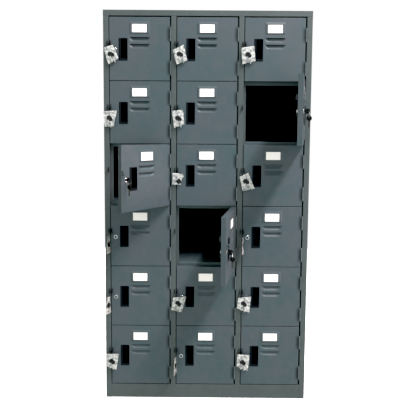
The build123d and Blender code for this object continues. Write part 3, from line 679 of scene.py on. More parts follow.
FRAME_EYE_X = DOOR_LEFT - LATCH_GAP - EYE_IN
frame_eye_places = [door_stand(spot).translation + Vector((FRAME_EYE_X, 0, -EYE_DOWN))
                    for spot in SPOTS]
fitted(set_out("frame_eyes", padlock_eye(), frame_eye_places, EYE_PAINT), "cabinet",
       "eye_paint", "padlock_eyes")

# --- Doors -----------------------------------------------------------------------------------
# Flat trays of 0.8 mm sheet, 22 mm deep, with a lip turned in behind. The louvres are lanced
# along their upper edge and pressed inwards in one stroke, so each is a scoop that is deep at
# its slot and runs out to the face below. The pull's hole is pierced in the same tool.

DOOR_LIP = 9
LOUVRE_WIDTH = 98
LOUVRE_HEIGHT = 20
LOUVRE_DEPTH = 9
LOUVRE_TAPER = 9
LOUVRE_END = 18
LOUVRE_GAP = 1
LOUVRE_TOPS = (-90.5, -121)
PULL_IN = 42.5
PULL_DOWN = 95
PULL_WIDTH = 41
PULL_HEIGHT = 101
PULL_BEZEL = 2
HOLE_X = (DOOR_LEFT + PULL_IN + PULL_BEZEL, DOOR_LEFT + PULL_IN + PULL_WIDTH - PULL_BEZEL)
HOLE_Z = (-PULL_DOWN - PULL_HEIGHT + PULL_BEZEL, -PULL_DOWN - PULL_BEZEL)
DOOR_MIDDLE = (DOOR_LEFT + DOOR_RIGHT) / 2
# painted shade beside each hinge: the face is darkened, fully at the edge and less towards the
# end of this width and height
HINGE_SHADE_FULL = 3
HINGE_SHADE_WIDTH = 18
HINGE_SHADE_HEIGHT = HINGE_HEIGHT + 10


def grease(x, z):
    """How far painted shade darkens the face beside a hinge at a point, from 0 to 1."""
    in_from_edge = DOOR_RIGHT - x
    near = min(max((HINGE_SHADE_WIDTH - in_from_edge) / (HINGE_SHADE_WIDTH - HINGE_SHADE_FULL), 0), 1)
    off = min(abs(z - top + HINGE_HEIGHT / 2) for top in HINGE_TOPS) / (HINGE_SHADE_HEIGHT / 2)
    return near * max(1 - off ** 4, 0)


def louvre_shape(x, z, from_below):
    """How far the face is pressed in and drawn down at a point. A slot's own line has metal
    above it, which stays flat, and below it, which is pressed in."""
    for slot in LOUVRE_TOPS:
        if z > slot or z < slot - LOUVRE_HEIGHT or (z == slot and not from_below):
            continue
        down = (slot - z) / LOUVRE_HEIGHT
        half = LOUVRE_WIDTH / 2 - LOUVRE_TAPER * down ** 2
        end = min(max((half - abs(x - DOOR_MIDDLE)) / LOUVRE_END, 0), 1)
        end = end * end * (3 - 2 * end)
        return LOUVRE_DEPTH * end * (1 - down ** 2), LOUVRE_GAP * min(1, 10 * end) * (1 - down)
    return 0.0, 0.0


def ruled(start, length, steps):
    """Lines in equal steps, from a start over a length."""
    return [start + length * i / steps for i in range(steps + 1)]


def tray_lines():
    """Where the door's face is divided, as x and z: at the bends, round the pull's hole and
    finely over the louvres and the painted shade beside the hinges. A last line lies 1 mm outside
    each of them."""
    xs = {*HOLE_X, *ruled(DOOR_RIGHT, -HINGE_SHADE_WIDTH, 6)[1:],
          *ruled(DOOR_MIDDLE - LOUVRE_WIDTH / 2, LOUVRE_WIDTH, 40)}
    xs |= {DOOR_MIDDLE + side * (LOUVRE_WIDTH / 2 + 1) for side in (-1, 1)}
    xs |= {x for off in (BEND, BEND + 1) for x in (DOOR_LEFT + off, DOOR_RIGHT - off)}
    zs = {*HOLE_Z, *(z for off in (BEND, BEND + 1) for z in (-off, off - DOOR_HEIGHT))}
    for top in HINGE_TOPS:
        zs |= {*ruled(top - (HINGE_HEIGHT + HINGE_SHADE_HEIGHT) / 2, HINGE_SHADE_HEIGHT, 16)}
    for slot in LOUVRE_TOPS:
        zs |= {slot + 1, slot - LOUVRE_HEIGHT - 1, *ruled(slot, -LOUVRE_HEIGHT, 12)}
    return sorted(xs), sorted(zs, reverse=True)


def door_tray():
    """The door's outer face, flanges and lips as one sheet."""
    shell = bmesh.new()
    # painted shade beside the hinges, carried on the corners as an attribute
    hinge_shade_layer = shell.verts.layers.float.new("grease")
    xs, zs = tray_lines()
    known = {}

    def corner(i, j, from_below):
        sink, drop = louvre_shape(xs[i], zs[j], from_below)
        name = (i, j, round(sink, 4))
        if name not in known:
            known[name] = shell.verts.new((xs[i], sink, zs[j] - drop))
            known[name][hinge_shade_layer] = grease(xs[i], zs[j])
        return known[name]

    last_x, last_z = len(xs) - 1, len(zs) - 1
    for i in range(last_x):
        for j in range(last_z):
            if not (HOLE_X[0] <= xs[i] < HOLE_X[1] and HOLE_Z[0] < zs[j] <= HOLE_Z[1]):
                shell.faces.new((corner(i, j, True), corner(i, j + 1, False),
                                 corner(i + 1, j + 1, False), corner(i + 1, j, True)))
    border = [(i, 0) for i in range(last_x)] + [(last_x, j) for j in range(last_z)]
    border += [(i, last_z) for i in range(last_x, 0, -1)] + [(0, j) for j in range(last_z, 0, -1)]
    # how far out from the border and how deep: round both bends of the flange, then the lip
    steps = [(BEND * math.sin(a), BEND * (1 - math.cos(a)))
             for a in (math.radians(d) for d in (18, 36, 54, 72, 90))]
    steps += [(BEND * math.cos(a), DOOR_DEPTH - BEND * (1 - math.sin(a)))
              for a in (math.radians(d) for d in (0, 30, 60, 90))]
    steps.append((BEND - DOOR_LIP, DOOR_DEPTH))
    rings = [[known[(i, j, 0.0)] for i, j in border]]
    for out, deep in steps:
        rings.append([])
        for i, j in border:
            side = (i == last_x) - (i == 0)
            rise = (j == 0) - (j == last_z)
            rings[-1].append(shell.verts.new((xs[i] + side * out, deep, zs[j] + rise * out)))
            rings[-1][-1][hinge_shade_layer] = grease(xs[i], zs[j])
    skin(shell, rings)
    bmesh.ops.recalc_face_normals(shell, faces=shell.faces)
    front = min(shell.faces, key=lambda f: f.calc_center_median().y)
    if front.normal.y > 0:
        bmesh.ops.reverse_faces(shell, faces=shell.faces)
    return shell


def hang(pattern, name, slot=None, on="door", spots=SPOTS, node=None):
    """Hangs a copy of a part at each spot, on that spot's body and in place of that spot's CAD
    node, and puts the pattern away."""
    for spot in spots:
        piece = put(f"{name}_{spot}", pattern.data.copy())
        piece.data.transform(MM @ door_stand(spot))
        fitted(piece, f"{on}_{spot}", slot, *([f"{node}_{spot}"] if node else []))
    bpy.data.objects.remove(pattern)


hang(settle(thickened(shaped("tray", door_tray(), DOOR_PAINT), SHEET)), "door_tray",
     "door_paint", node="door")

# --- Label holders and cards -----------------------------------------------------------------
# A frame pressed from thin sheet, its sides sloped down to the door all round, spot welded to
# the door and painted with it. A blank card of white index board slides in from above.

CARD_DOWN = 50.5
WINDOW_WIDTH = 67
WINDOW_HEIGHT = 37
HOLDER_SIDE = 12
HOLDER_TOP = 12
HOLDER_BOTTOM = 7
HOLDER_PROUD = 2.5
HOLDER_SHEET = 0.6
CARD_BEHIND = 1.7
CARD_MARGIN = 2.5
CARD_BOW = 0.35
CARD_THICKNESS = 0.3
WINDOW = (DOOR_MIDDLE - WINDOW_WIDTH / 2, DOOR_MIDDLE + WINDOW_WIDTH / 2,
          -CARD_DOWN - WINDOW_HEIGHT / 2, -CARD_DOWN + WINDOW_HEIGHT / 2)


def rounded(x0, x1, z0, z1, radius, steps=5):
    """Corner-rounded rectangle as (x, z) points, in order round it."""
    line = []
    for cx, cz, start in ((x1 - radius, z1 - radius, 0), (x0 + radius, z1 - radius, 90),
                          (x0 + radius, z0 + radius, 180), (x1 - radius, z0 + radius, 270)):
        for i in range(steps + 1):
            a = math.radians(start + 90 * i / steps)
            line.append((cx + radius * math.cos(a), cz + radius * math.sin(a)))
    return line


def lofted(loops, ends=()):
    """A skin through rounded rectangles, each (x0, x1, z0, z1, radius, y)."""
    shell = bmesh.new()
    rings = [[shell.verts.new((x, y, z)) for x, z in rounded(x0, x1, z0, z1, radius)]
             for x0, x1, z0, z1, radius, y in loops]
    return skin(shell, rings, ends)


def wider(sides, by):
    """A rectangle (x0, x1, z0, z1) that is larger on every side."""
    x0, x1, z0, z1 = sides
    return x0 - by, x1 + by, z0 - by, z1 + by


def holder_frame():
    """The holder: slopes up from the door, a flat rim and a turned-in edge at the window."""
    x0, x1, z0, z1 = WINDOW
    outer = (x0 - HOLDER_SIDE, x1 + HOLDER_SIDE, z0 - HOLDER_BOTTOM, z1 + HOLDER_TOP)
    rim = (outer[0] + 4, outer[1] - 4, outer[2] + 5, outer[3] - 9)
    flat, edge = wider(rim, -1), wider(WINDOW, 0.5)
    front = -HOLDER_PROUD
    rear = front + HOLDER_SHEET
    return lofted([(*outer, 3, 0), (*rim, 2.5, front + 0.25), (*flat, 2, front),
                   (*edge, 1.2, front), (*WINDOW, 1, front + 0.3), (*WINDOW, 1, rear),
                   (*edge, 1.2, rear + 0.1), (*flat, 2, rear + 0.1), (*outer, 3, 0)])


def index_board():
    """White uncoated board: matt, with fibres that mottle it very slightly."""
    material, tree, shader, place = begun("Index board")
    fibre = add(tree, "ShaderNodeTexNoise", {"Vector": place, "Scale": 1 / 0.002,
                                             "Detail": 5.0})
    tone = add(tree, "ShaderNodeMix", {"Factor": fibre.outputs["Fac"], "A": linear("#FAF1F1"),
                                       "B": linear("#FFF9F9")}, data_type="RGBA")
    feed(tree, shader, {"Base Color": tone.outputs["Result"], "Roughness": 0.85})
    return material


def card():
    """The card's visible part, with a hair of bow in it."""
    shell = bmesh.new()
    x0, x1, z0, z1 = wider(WINDOW, CARD_MARGIN)
    rows = []
    for z in ruled(z0, z1 - z0, 4):
        rows.append([])
        for x in ruled(x0, x1 - x0, 8):
            bow = CARD_BOW * (1 - math.sin(math.pi * (x - x0) / (x1 - x0)))
            rows[-1].append(shell.verts.new((x, bow - CARD_BEHIND, z)))
    return skin(shell, rows, loop=False)


BOARD = index_board()
hang(settle(shaped("holder", holder_frame(), DOOR_PAINT)), "card_holder", "door_paint")
hang(settle(thickened(shaped("card", card(), BOARD), CARD_THICKNESS)), "card")

# --- Recessed pulls --------------------------------------------------------------------------
# Injection-moulded ABS cups, snapped into the door. The fingers reach behind a lip at the left
# and along the bottom, so the cavity is wider than its mouth there.

PULL_PROUD = 1.2
PULL_CUP_DEPTH = 19
PULL_LIP = 11
PULL_RIM = 3.5
PULL_LIP_THICKNESS = 2.4
PULL_WALL = 1.6
PULL_PLAY = 0.1


def moulded_black(name, colour, roughness, gloss):
    """Black moulded ABS: a spark-eroded grain that breaks up its gloss."""
    material, tree, shader, place = begun(name)
    # the grain is 0.1 mm, and 0.8 mm here so that it shows
    grain = add(tree, "ShaderNodeTexNoise", {"Vector": place, "Scale": 1 / 0.0008,
                                             "Detail": 2.0})
    relief = add(tree, "ShaderNodeBump", {"Height": grain.outputs["Fac"], "Strength": 0.25,
                                          "Distance": 0.0001})
    spread = add(tree, "ShaderNodeMapRange", {"Value": grain.outputs["Fac"],
                                              "To Min": roughness - 0.06,
                                              "To Max": roughness + 0.06})
    feed(tree, shader, {"Base Color": linear(colour), "Roughness": spread.outputs[0],
                        "Normal": relief.outputs[0], "IOR": 1.53, "Specular IOR Level": gloss})
    return material


def pull_cup():
    """Bezel, lip, undercut cavity and the cup's outside, as one closed skin."""
    bezel = wider((*HOLE_X, *HOLE_Z), PULL_BEZEL)
    x0, x1, z0, z1 = bezel
    body = wider(bezel, -PULL_BEZEL - PULL_PLAY)
    mouth = (x0 + PULL_LIP, x1 - PULL_RIM, z0 + PULL_LIP, z1 - PULL_RIM)
    room = (body[0] + PULL_WALL, mouth[1], body[2] + PULL_WALL, mouth[3])
    floor_y = PULL_CUP_DEPTH - PULL_WALL
    return lofted([(*wider(body, -0.8), 2, PULL_CUP_DEPTH), (*body, 2.5, PULL_CUP_DEPTH - 0.8),
                   (*body, 2.5, SHEET), (*body, 2.5, 0.05), (*bezel, 3, 0.05),
                   (*bezel, 3, -PULL_PROUD + 0.6), (*wider(bezel, -0.6), 2.6, -PULL_PROUD),
                   (*wider(mouth, 1.2), 2.4, -PULL_PROUD),
                   (*wider(mouth, 0.4), 2, -PULL_PROUD + 0.35),
                   (*mouth, 1.8, -PULL_PROUD + 1.2), (*mouth, 1.8, PULL_LIP_THICKNESS),
                   (*room, 1.8, PULL_LIP_THICKNESS), (*room, 1.8, floor_y - 1.2),
                   (*wider(room, -1.2), 1.4, floor_y)], (0, -1))


PULL_ABS = moulded_black("Black ABS, bezel of pull", "#181C21", 0.5, 0.08)
# a darker copy of the pull's black, as painted shade inside its cavity
SHADED_CUP_ABS = moulded_black("Black ABS, dull inside of pull", "#030304", 0.8, 0.07)
pull = settle(shaped("pull", pull_cup(), PULL_ABS))
pull.data.materials.append(SHADED_CUP_ABS)
# faces deep in the cup take the darker copy, a painted shade
for side in pull.data.polygons:
    side.material_index = int(side.center.y > 0.1)
hang(pull, "pull")

# --- Door fittings ---------------------------------------------------------------------------
# Each door's padlock eye, its halves of the hinges, and the catch that clicks past the stop
# flange: a strip of blue-black spring steel spot welded to the rear lip.

CATCH_DOWN = 92
CATCH_HEIGHT = 22
CATCH_REACH = 9
CATCH_PLAY = 1.6
CATCH_BEND = 1
CATCH_BOW = 0.1
DOOR_EYE_X = DOOR_LEFT + EYE_IN
SPRING_STEEL = zinc_plate("Tempered spring steel, catches", "#3C4046", 0.4)


def catch_pattern():
    """Foot on the lip, a rolled corner and a tongue that bows a little, along its middle."""
    x = DOOR_LEFT - LATCH_GAP + STOP_FLANGE + CATCH_PLAY + SHEET / 2
    y = DOOR_DEPTH - SHEET - SHEET / 2
    line = [(DOOR_LEFT + SHEET, y)]
    line += [(x + CATCH_BEND * (math.sin(a) - 1), y + CATCH_BEND * (1 - math.cos(a)))
             for a in (math.radians(d) for d in (0, 30, 60, 90))]
    line += [(x, y + 5.2), (x + CATCH_BOW, y + 7.3), (x, DOOR_DEPTH + CATCH_REACH)]
    shell = bmesh.new()
    skin(shell, [[shell.verts.new((x, y, z - CATCH_DOWN)) for x, y in line]
                 for z in (-CATCH_HEIGHT / 2, CATCH_HEIGHT / 2)], loop=False)
    return settle(thickened(shaped("catch", shell, SPRING_STEEL), SHEET, offset=0))


def door_eye(name, finish):
    """A padlock eye at its place on the door."""
    eye = settle(shaped(name, padlock_eye(), finish))
    eye.data.transform(Matrix.Translation((DOOR_EYE_X, 0, -EYE_DOWN)))
    return eye


hang(catch_pattern(), "catch")
hang(door_eye("eye", EYE_PAINT), "door_eye", "eye_paint",
     spots=[spot for spot in SPOTS if spot not in OPEN_SPOTS])
# the eyes of doors that hang open have no bag and keep the door's coat, without the painted shade
hang(door_eye("clean_eye", DOOR_PAINT), "door_eye", "eye_paint", spots=OPEN_SPOTS)
for count, top in enumerate(HINGE_TOPS, 1):
    leaf = settle(shaped("door_leaf", hinge_leaf(-1), HINGE_PAINT))
    leaf.data.transform(Matrix.Translation((0, 0, top)))
    hang(leaf, f"door_leaf_{count}", "hinge_paint")

# --- Locks -----------------------------------------------------------------------------------
# Cam locks: zinc die castings, bright chromed. The plug turns in its case with the cam, which
# is held by a screw and reaches down behind the stop flange when the door is locked.

LOCK_IN = 23
LOCK_DOWN = 147.5
HEAD_RADIUS = 9.5
HEAD_PROUD = 2.2
CASE_RADIUS = 7.9
PLUG_RADIUS = 5.5
PLUG_PLAY = 0.12
PLUG_PROUD = 0.5
NUT_FLATS = 22
NUT_HEIGHT = 4
NUT_PLAY = 0.1
KEYWAY_WIDTH = 2.4
KEYWAY_HEIGHT = 7.6
KEYWAY_DEPTH = 20
CAM_FRONT = STOP_BACK - FRONT + 1.6
CAM_THICKNESS = 2
CAM_WIDTH = 12
CAM_REACH = 24
CAM_HOLE = 2
SCREW_HEAD_RADIUS = 4
SCREW_HEAD_HEIGHT = 2.4
LOCK_X = DOOR_LEFT + LOCK_IN
# plate drawn in (right, up) put flat against the door, its thickness going inwards
FLAT_ON = Matrix(((1, 0, 0, 0), (0, 0, 1, 0), (0, 1, 0, 0), (0, 0, 0, 1)))


def chrome(name, colour, roughness):
    """Chromium over nickel: a mirror, dulled a little by handling in streaks 3 mm long."""
    return plated(name, colour, roughness * 0.6, roughness * 1.6, 0.003, 4.0)


def lock_case():
    """Head with its rim turned off, and its barrel, bored for the plug."""
    shell = bmesh.new()
    bore = PLUG_RADIUS + PLUG_PLAY
    lathe(shell, [(-HEAD_PROUD + 0.3, bore), (-HEAD_PROUD, bore + 0.3),
                  (-HEAD_PROUD, HEAD_RADIUS - 1.2), (-HEAD_PROUD + 0.35, HEAD_RADIUS - 0.4),
                  (-HEAD_PROUD + 1.0, HEAD_RADIUS), (0, HEAD_RADIUS), (0, CASE_RADIUS),
                  (CAM_FRONT - 0.4, CASE_RADIUS), (CAM_FRONT, CASE_RADIUS - 0.4),
                  (CAM_FRONT, bore), (-HEAD_PROUD + 0.3, bore)], 48,
          (LOCK_X, 0, -LOCK_DOWN), inwards=True)
    bmesh.ops.remove_doubles(shell, verts=shell.verts, dist=0.001)
    return shell


def lock_nut():
    """Hexagon nut behind the sheet."""
    ways = directions(30)
    flat = NUT_FLATS / 2
    rim = [way * flat / math.cos((math.atan2(way.y, way.x) % math.radians(60))
                                 - math.radians(30)) for way in ways]
    hole = [way * (CASE_RADIUS + NUT_PLAY) for way in ways]
    place = Matrix.Translation((LOCK_X, SHEET, -LOCK_DOWN)) @ FLAT_ON
    return pierced(bmesh.new(), rim, hole, NUT_HEIGHT, place, edge=0.5)


def lock_plug():
    """The plug with its keyway, and the cam and screw behind it."""
    shell = bmesh.new()
    half_x, half_z = KEYWAY_WIDTH / 2, KEYWAY_HEIGHT / 2
    lean = math.atan2(half_z, half_x)
    ways = directions(36, lean, math.pi - lean, math.pi + lean, 2 * math.pi - lean)
    slot = [way * min(half_x / max(abs(way.x), 1e-6), half_z / max(abs(way.y), 1e-6))
            for way in ways]
    face = -HEAD_PROUD - PLUG_PROUD
    rows = [(face + KEYWAY_DEPTH, slot), (face, slot),
            (face, [way * (PLUG_RADIUS - 0.4) for way in ways]),
            (face + 0.4, [way * PLUG_RADIUS for way in ways]),
            (CAM_FRONT, [way * PLUG_RADIUS for way in ways])]
    rings = [[shell.verts.new((LOCK_X + p.x, y, -LOCK_DOWN + p.y)) for p in line]
             for y, line in rows]
    skin(shell, rings, (0, -1))
    around = directions(30)
    half = CAM_WIDTH / 2
    rim = [until(Vector((0, 0)), way, lambda x, z: abs(x) <= half and z >= -CAM_REACH
                 and (z <= 0 or math.hypot(x, z) <= half)) for way in around]
    hole = [way * CAM_HOLE for way in around]
    pierced(shell, rim, hole, CAM_THICKNESS,
            Matrix.Translation((LOCK_X, CAM_FRONT, -LOCK_DOWN)) @ FLAT_ON, edge=0.25)
    back = CAM_FRONT + CAM_THICKNESS
    lathe(shell, [(back, 0), (back, SCREW_HEAD_RADIUS), (back + 1.4, SCREW_HEAD_RADIUS),
                  (back + 2.0, SCREW_HEAD_RADIUS * 0.85),
                  (back + SCREW_HEAD_HEIGHT, SCREW_HEAD_RADIUS * 0.5),
                  (back + SCREW_HEAD_HEIGHT, 0)], 24, (LOCK_X, 0, -LOCK_DOWN),
          inwards=True)
    return shell


LOCK_CHROME = chrome("Chrome plate, locks", "#B9BBBD", 0.16)
# the plugs are given a darker, duller plate than the cases
PLUG_NICKEL = chrome("Nickel plate, worn on lock plugs", "#4E5052", 0.4)
NUT_ZINC = zinc_plate("Zinc plate, lock nuts", "#A8ABA4", 0.35)
hang(settle(shaped("case", lock_case(), LOCK_CHROME)), "lock_case", "lock_chrome")
hang(settle(shaped("nut", lock_nut(), NUT_ZINC)), "lock_nut")
hang(settle(shaped("plug", lock_plug(), PLUG_NICKEL)), "lock_plug", "lock_chrome", on="lock",
     node="lock")

# --- Keys left in the locks ------------------------------------------------------------------
# Stamped and nickel-plated blades with black heads moulded on. A split ring joins the key in
# the plug to its spare, and both swing with the plug.

BOW_RADIUS = 11
BOW_THICKNESS = 5
BOW_HOLE = 2.6
BOW_HOLE_IN = 4.5
BLADE_WIDTH = 7.2
BLADE_THICKNESS = 2
BLADE_LENGTH = 27
BLADE_CUTS = (0.25, 0.6, 0.4, 0.75, 0.3)
RING_RADIUS = 9
RING_WIRE = 0.8
BOW_OUT = 3
LOCK_BLADE_LENGTH = 6
KEY_Y = -HEAD_PROUD - PLUG_PROUD - BOW_OUT - BOW_RADIUS
KEY_HOLE_Y = KEY_Y - BOW_RADIUS + BOW_HOLE_IN
RING_CLEAR = 0.1
HANG = BOW_HOLE - RING_WIRE - RING_CLEAR
RING_TOP = -LOCK_DOWN - HANG


def key_head(shell, place, thickness=BOW_THICKNESS):
    """Round head with its ring hole, drawn with the blade along +X and the plate centred."""
    centre = Vector((BOW_HOLE_IN - BOW_RADIUS, 0))
    ways = directions(36)
    rim = [until(centre, way, lambda x, y: math.hypot(x, y) <= BOW_RADIUS) for way in ways]
    hole = [centre + way * BOW_HOLE for way in ways]
    pierced(shell, rim, hole, thickness,
            place @ Matrix.Translation((0, 0, -thickness / 2)), edge=min(0.9, thickness / 4))


def key_blade(shell, place, length, thickness=BLADE_THICKNESS):
    """Blade with its tip and edges eased and its bitting cut in the lower edge. One that is in
    a lock shows only its plain root."""
    half = BLADE_WIDTH / 2
    near, far = BOW_RADIUS - 2, BOW_RADIUS + length
    line = [(near, half), (far - 2, half), (far, half * 0.3), (far, -half * 0.1),
            (far - 2.5, -half * 0.7)]
    pitch = (length - 8) / len(BLADE_CUTS)
    for i, cut in enumerate(BLADE_CUTS if length > LOCK_BLADE_LENGTH else ()):
        x = far - 3.5 - pitch * i
        depth = -half + half * cut
        line += [(x, depth), (x - pitch * 0.35, depth), (x - pitch * 0.65, -half * 0.95)]
    line.append((near, -half))
    sides = []
    for z, slim in ((-thickness / 2, 0.2), (-thickness / 2 + 0.2, 0), (thickness / 2 - 0.2, 0),
                    (thickness / 2, 0.2)):
        scale = 1 - slim / half
        sides.append([shell.verts.new(place @ Vector((x, y * scale, z))) for x, y in line])
    skin(shell, sides, (0, -1))


def split_ring(x, y, top, radius):
    """Two turns of round wire that hang in the XZ plane from a point."""
    shell = bmesh.new()
    wire = RING_WIRE / 2
    steps = 96
    rings = []
    for i in range(steps + 1):
        turn = 4 * math.pi * i / steps
        out = Vector((math.cos(turn), 0, math.sin(turn)))
        at = Vector((x, y - wire + RING_WIRE * i / steps, top - radius)) + out * radius
        rings.append([shell.verts.new(at + out * wire * way.x + Vector((0, wire * way.y, 0)))
                      for way in directions(8)])
    return skin(shell, rings, (0, -1))


HEAD_ABS = moulded_black("Black ABS, key heads", "#101114", 0.35, 0.16)
KEY_NICKEL = chrome("Nickel plate, key blades", "#A4A3A0", 0.24)
# a darker copy of the blades' nickel, as painted shade on the keys left in the locks of the open
# doors
SHADED_NICKEL = chrome("Nickel plate, blades worn dark in use", "#4C4A46", 0.35)
RING_STEEL = chrome("Nickel plate, split rings", "#BDBBB4", 0.2)
DARK_STEEL = chrome("Blued steel, split rings of bags", "#17181B", 0.35)
# a key drawn along +X, put with its blade along +Y and its plate upright
INTO_LOCK = Matrix(((0, 0, 1, 0), (1, 0, 0, 0), (0, 1, 0, 0), (0, 0, 0, 1)))
# a key drawn along +X, hung with its blade down
HANGING = Matrix(((0, 0, 1, 0), (0, 1, 0, 0), (-1, 0, 0, 0), (0, 0, 0, 1)))

spare_z = RING_TOP - 2 * RING_RADIUS - HANG - BOW_RADIUS + BOW_HOLE_IN
in_lock = Matrix.Translation((LOCK_X, KEY_Y, -LOCK_DOWN)) @ INTO_LOCK
hanging = Matrix.Translation((LOCK_X, KEY_HOLE_Y, spare_z)) @ HANGING
heads = bmesh.new()
key_head(heads, in_lock)
key_head(heads, hanging)
blades = bmesh.new()
key_blade(blades, in_lock, LOCK_BLADE_LENGTH)
key_blade(blades, hanging, BLADE_LENGTH)
hang(settle(shaped("heads", heads, HEAD_ABS)), "key_heads", "key", on="lock", spots=OPEN_SPOTS,
     node="keys")
hang(settle(shaped("blades", blades, SHADED_NICKEL)), "key_blades", on="lock", spots=OPEN_SPOTS)
ring = settle(shaped("ring", split_ring(LOCK_X, KEY_HOLE_Y, RING_TOP, RING_RADIUS), RING_STEEL))
hang(ring, "key_ring", on="lock", spots=OPEN_SPOTS)

# --- Bags of keys ----------------------------------------------------------------------------
# Press-seal bags of hazy polyethylene film with two keys in each, hung by a split ring from the
# door's padlock eye. The film clings and clears over the keys, and creases where it is loose.

BAG_WIDTH = 60
BAG_LENGTH = 78
BAG_FOLDED = 54
BAG_HEAD = 2
BAG_BLADE = 1.2
BAG_KEY_OUT = 1.05
BAG_RING = 7.5
BAG_RING_TOP = -EYE_DOWN - EYE_HOLE + RING_WIRE + RING_CLEAR
BAG_OUT = EYE_HOLE_OUT + RING_WIRE + RING_CLEAR + 2
BAG_CLEAR = 5.5
ZIP_DOWN = (3.5, 6)
ZIP_PROUD = 0.35
# how far the film stands off the bag's middle: at its seams, more where it bellies, and over a
# key, from this far round the key; and how deep its loose pleats, folds and wavy edges are
FILM_SEAM = 0.3
FILM_BELLY = 1
KEY_BULGE = 2.2
KEY_ROUND = 3
PLEAT = 0.7
FOLD = 1.1
WAVE = 0.8
# shift to the right of the eye, and lean in degrees
FLAT_BAGS = {"r1c1": (-3, 18), "r1c2": (3, 14), "r1c3": (7, 5), "r2c1": (0, -4),
             "r2c2": (3, 7), "r3c2": (5, -3), "r3c3": (4, 12), "r5c2": (12, -8),
             "r5c3": (9, -6), "r6c1": (2, -3), "r6c3": (6, -3)}
# degrees turned from the door's face
TURNED_BAGS = {"r4c1": 72, "r4c3": 78, "r5c1": 62, "r6c2": 74}
FOLDED_BAG = "r3c2"
# how the film sags in its place: left and right ends of its top, then of its bottom, from the
# bag's middle, and degrees that its top and bottom slope up to the right
FILM_ENDS = {"r1c1": (-27, 17, -30, 24, 0, 13), "r1c2": (-30, 23, -29, 23, 13, 7),
             "r1c3": (-30, 30, -30, 30, 4, 9), "r2c1": (-30, 30, -24, 20, 8, 4),
             "r2c2": (-30, 20, -30, 19, 0, 13), "r3c2": (-30, 20, -27, 12, -2, 3),
             "r3c3": (-30, 14, -28, 28, 14, 0), "r5c2": (-30, 30, -30, 20, 14, -5),
             "r5c3": (-30, 30, -30, 30, 12, -14), "r6c1": (-30, 30, -26, 20, 3, -18),
             "r6c3": (-30, 30, -28, 26, 0, -18)}
TURNED_ENDS = (-10, 10, -18, 18, 0, 0)


def zip_film(name, colour, shade):
    """Polyethylene film: milky, glossy and cloudy, and clear where its cling attribute is 1."""
    material, tree, shader, place = begun(name)
    # the milkiness gathers in patches about 12 mm across, where the film lies doubled
    cloud = add(tree, "ShaderNodeTexNoise", {"Vector": place, "Scale": 1 / 0.012,
                                             "Detail": 3.0})
    share = add(tree, "ShaderNodeMapRange", {"Value": cloud.outputs["Fac"], "From Min": 0.38,
                                             "From Max": 0.6})
    tone = add(tree, "ShaderNodeMix", {"Factor": share.outputs[0], "A": linear(shade),
                                       "B": linear(colour)}, data_type="RGBA")
    # crumples 8 mm across: sharp pleats between flat facets
    pleat = add(tree, "ShaderNodeTexVoronoi", {"Vector": place, "Scale": 1 / 0.008},
                feature="DISTANCE_TO_EDGE")
    relief = add(tree, "ShaderNodeBump", {"Height": pleat.outputs["Distance"], "Strength": 0.6,
                                          "Distance": 0.002})
    cling = add(tree, "ShaderNodeAttribute", attribute_name="cling")
    haze = add(tree, "ShaderNodeMapRange", {"Value": cling.outputs["Fac"], "To Min": 0.84,
                                            "To Max": 0.03})
    feed(tree, shader, {"Base Color": tone.outputs["Result"], "Roughness": 0.3, "IOR": 1.51,
                        "Specular IOR Level": 0.3, "Normal": relief.outputs[0],
                        "Alpha": haze.outputs[0]})
    return material


def bag_stand(spot):
    """Where a bag hangs on its door: flat in front of both padlock eyes, or turned edge on
    below the door's eye."""
    if spot in TURNED_BAGS:
        turn = math.radians(TURNED_BAGS[spot])
        y = -BAG_WIDTH / 2 * math.sin(turn) - BAG_CLEAR
        x = DOOR_EYE_X + (y + EYE_HOLE_OUT) / math.tan(turn)
        z = -EYE_DOWN - EYE_HOLE - 2 * BAG_RING
        return Matrix.Translation((x, y, z)) @ Matrix.Rotation(turn, 4, "Z")
    shift, lean = FLAT_BAGS[spot]
    lean = math.radians(lean)
    x = DOOR_EYE_X + shift
    rise = max((eye - x) * math.tan(lean) for eye in (FRAME_EYE_X, DOOR_EYE_X))
    z = -EYE_DOWN - EYE_HEIGHT / 2 - 1 - rise
    return Matrix.Translation((x, -BAG_OUT, z)) @ Matrix.Rotation(-lean, 4, "Y")


def bag_keys(spot, middle):
    """A bag's two keys, one on the other: x and z of each head, and degrees that its blade is
    swung from straight down. The folded bag has both lying across it."""
    if spot == FOLDED_BAG:
        return [(middle + 9, -38, -140), (middle + 7, -36, -134)]
    apart = 1.5 if spot in TURNED_BAGS else 3
    return [(middle - apart, -BAG_LENGTH / 2 + 3, -9), (middle + apart, -BAG_LENGTH / 2 - 3, 7)]


def near_key(keys, x, z):
    """Distance to the nearest key in a bag, and whether that is its head."""
    best, head = math.inf, False
    for kx, kz, swing in keys:
        turn = math.radians(swing)
        along = (x - kx) * math.sin(turn) - (z - kz) * math.cos(turn)
        aside = (x - kx) * math.cos(turn) + (z - kz) * math.sin(turn)
        to_head = math.hypot(along, aside) - BOW_RADIUS
        to_blade = abs(aside) - BLADE_WIDTH / 2
        if to_head < best:
            best, head = to_head, True
        if 0 <= along <= BOW_RADIUS + BLADE_LENGTH and to_blade < best:
            best, head = to_blade, False
    return best, head


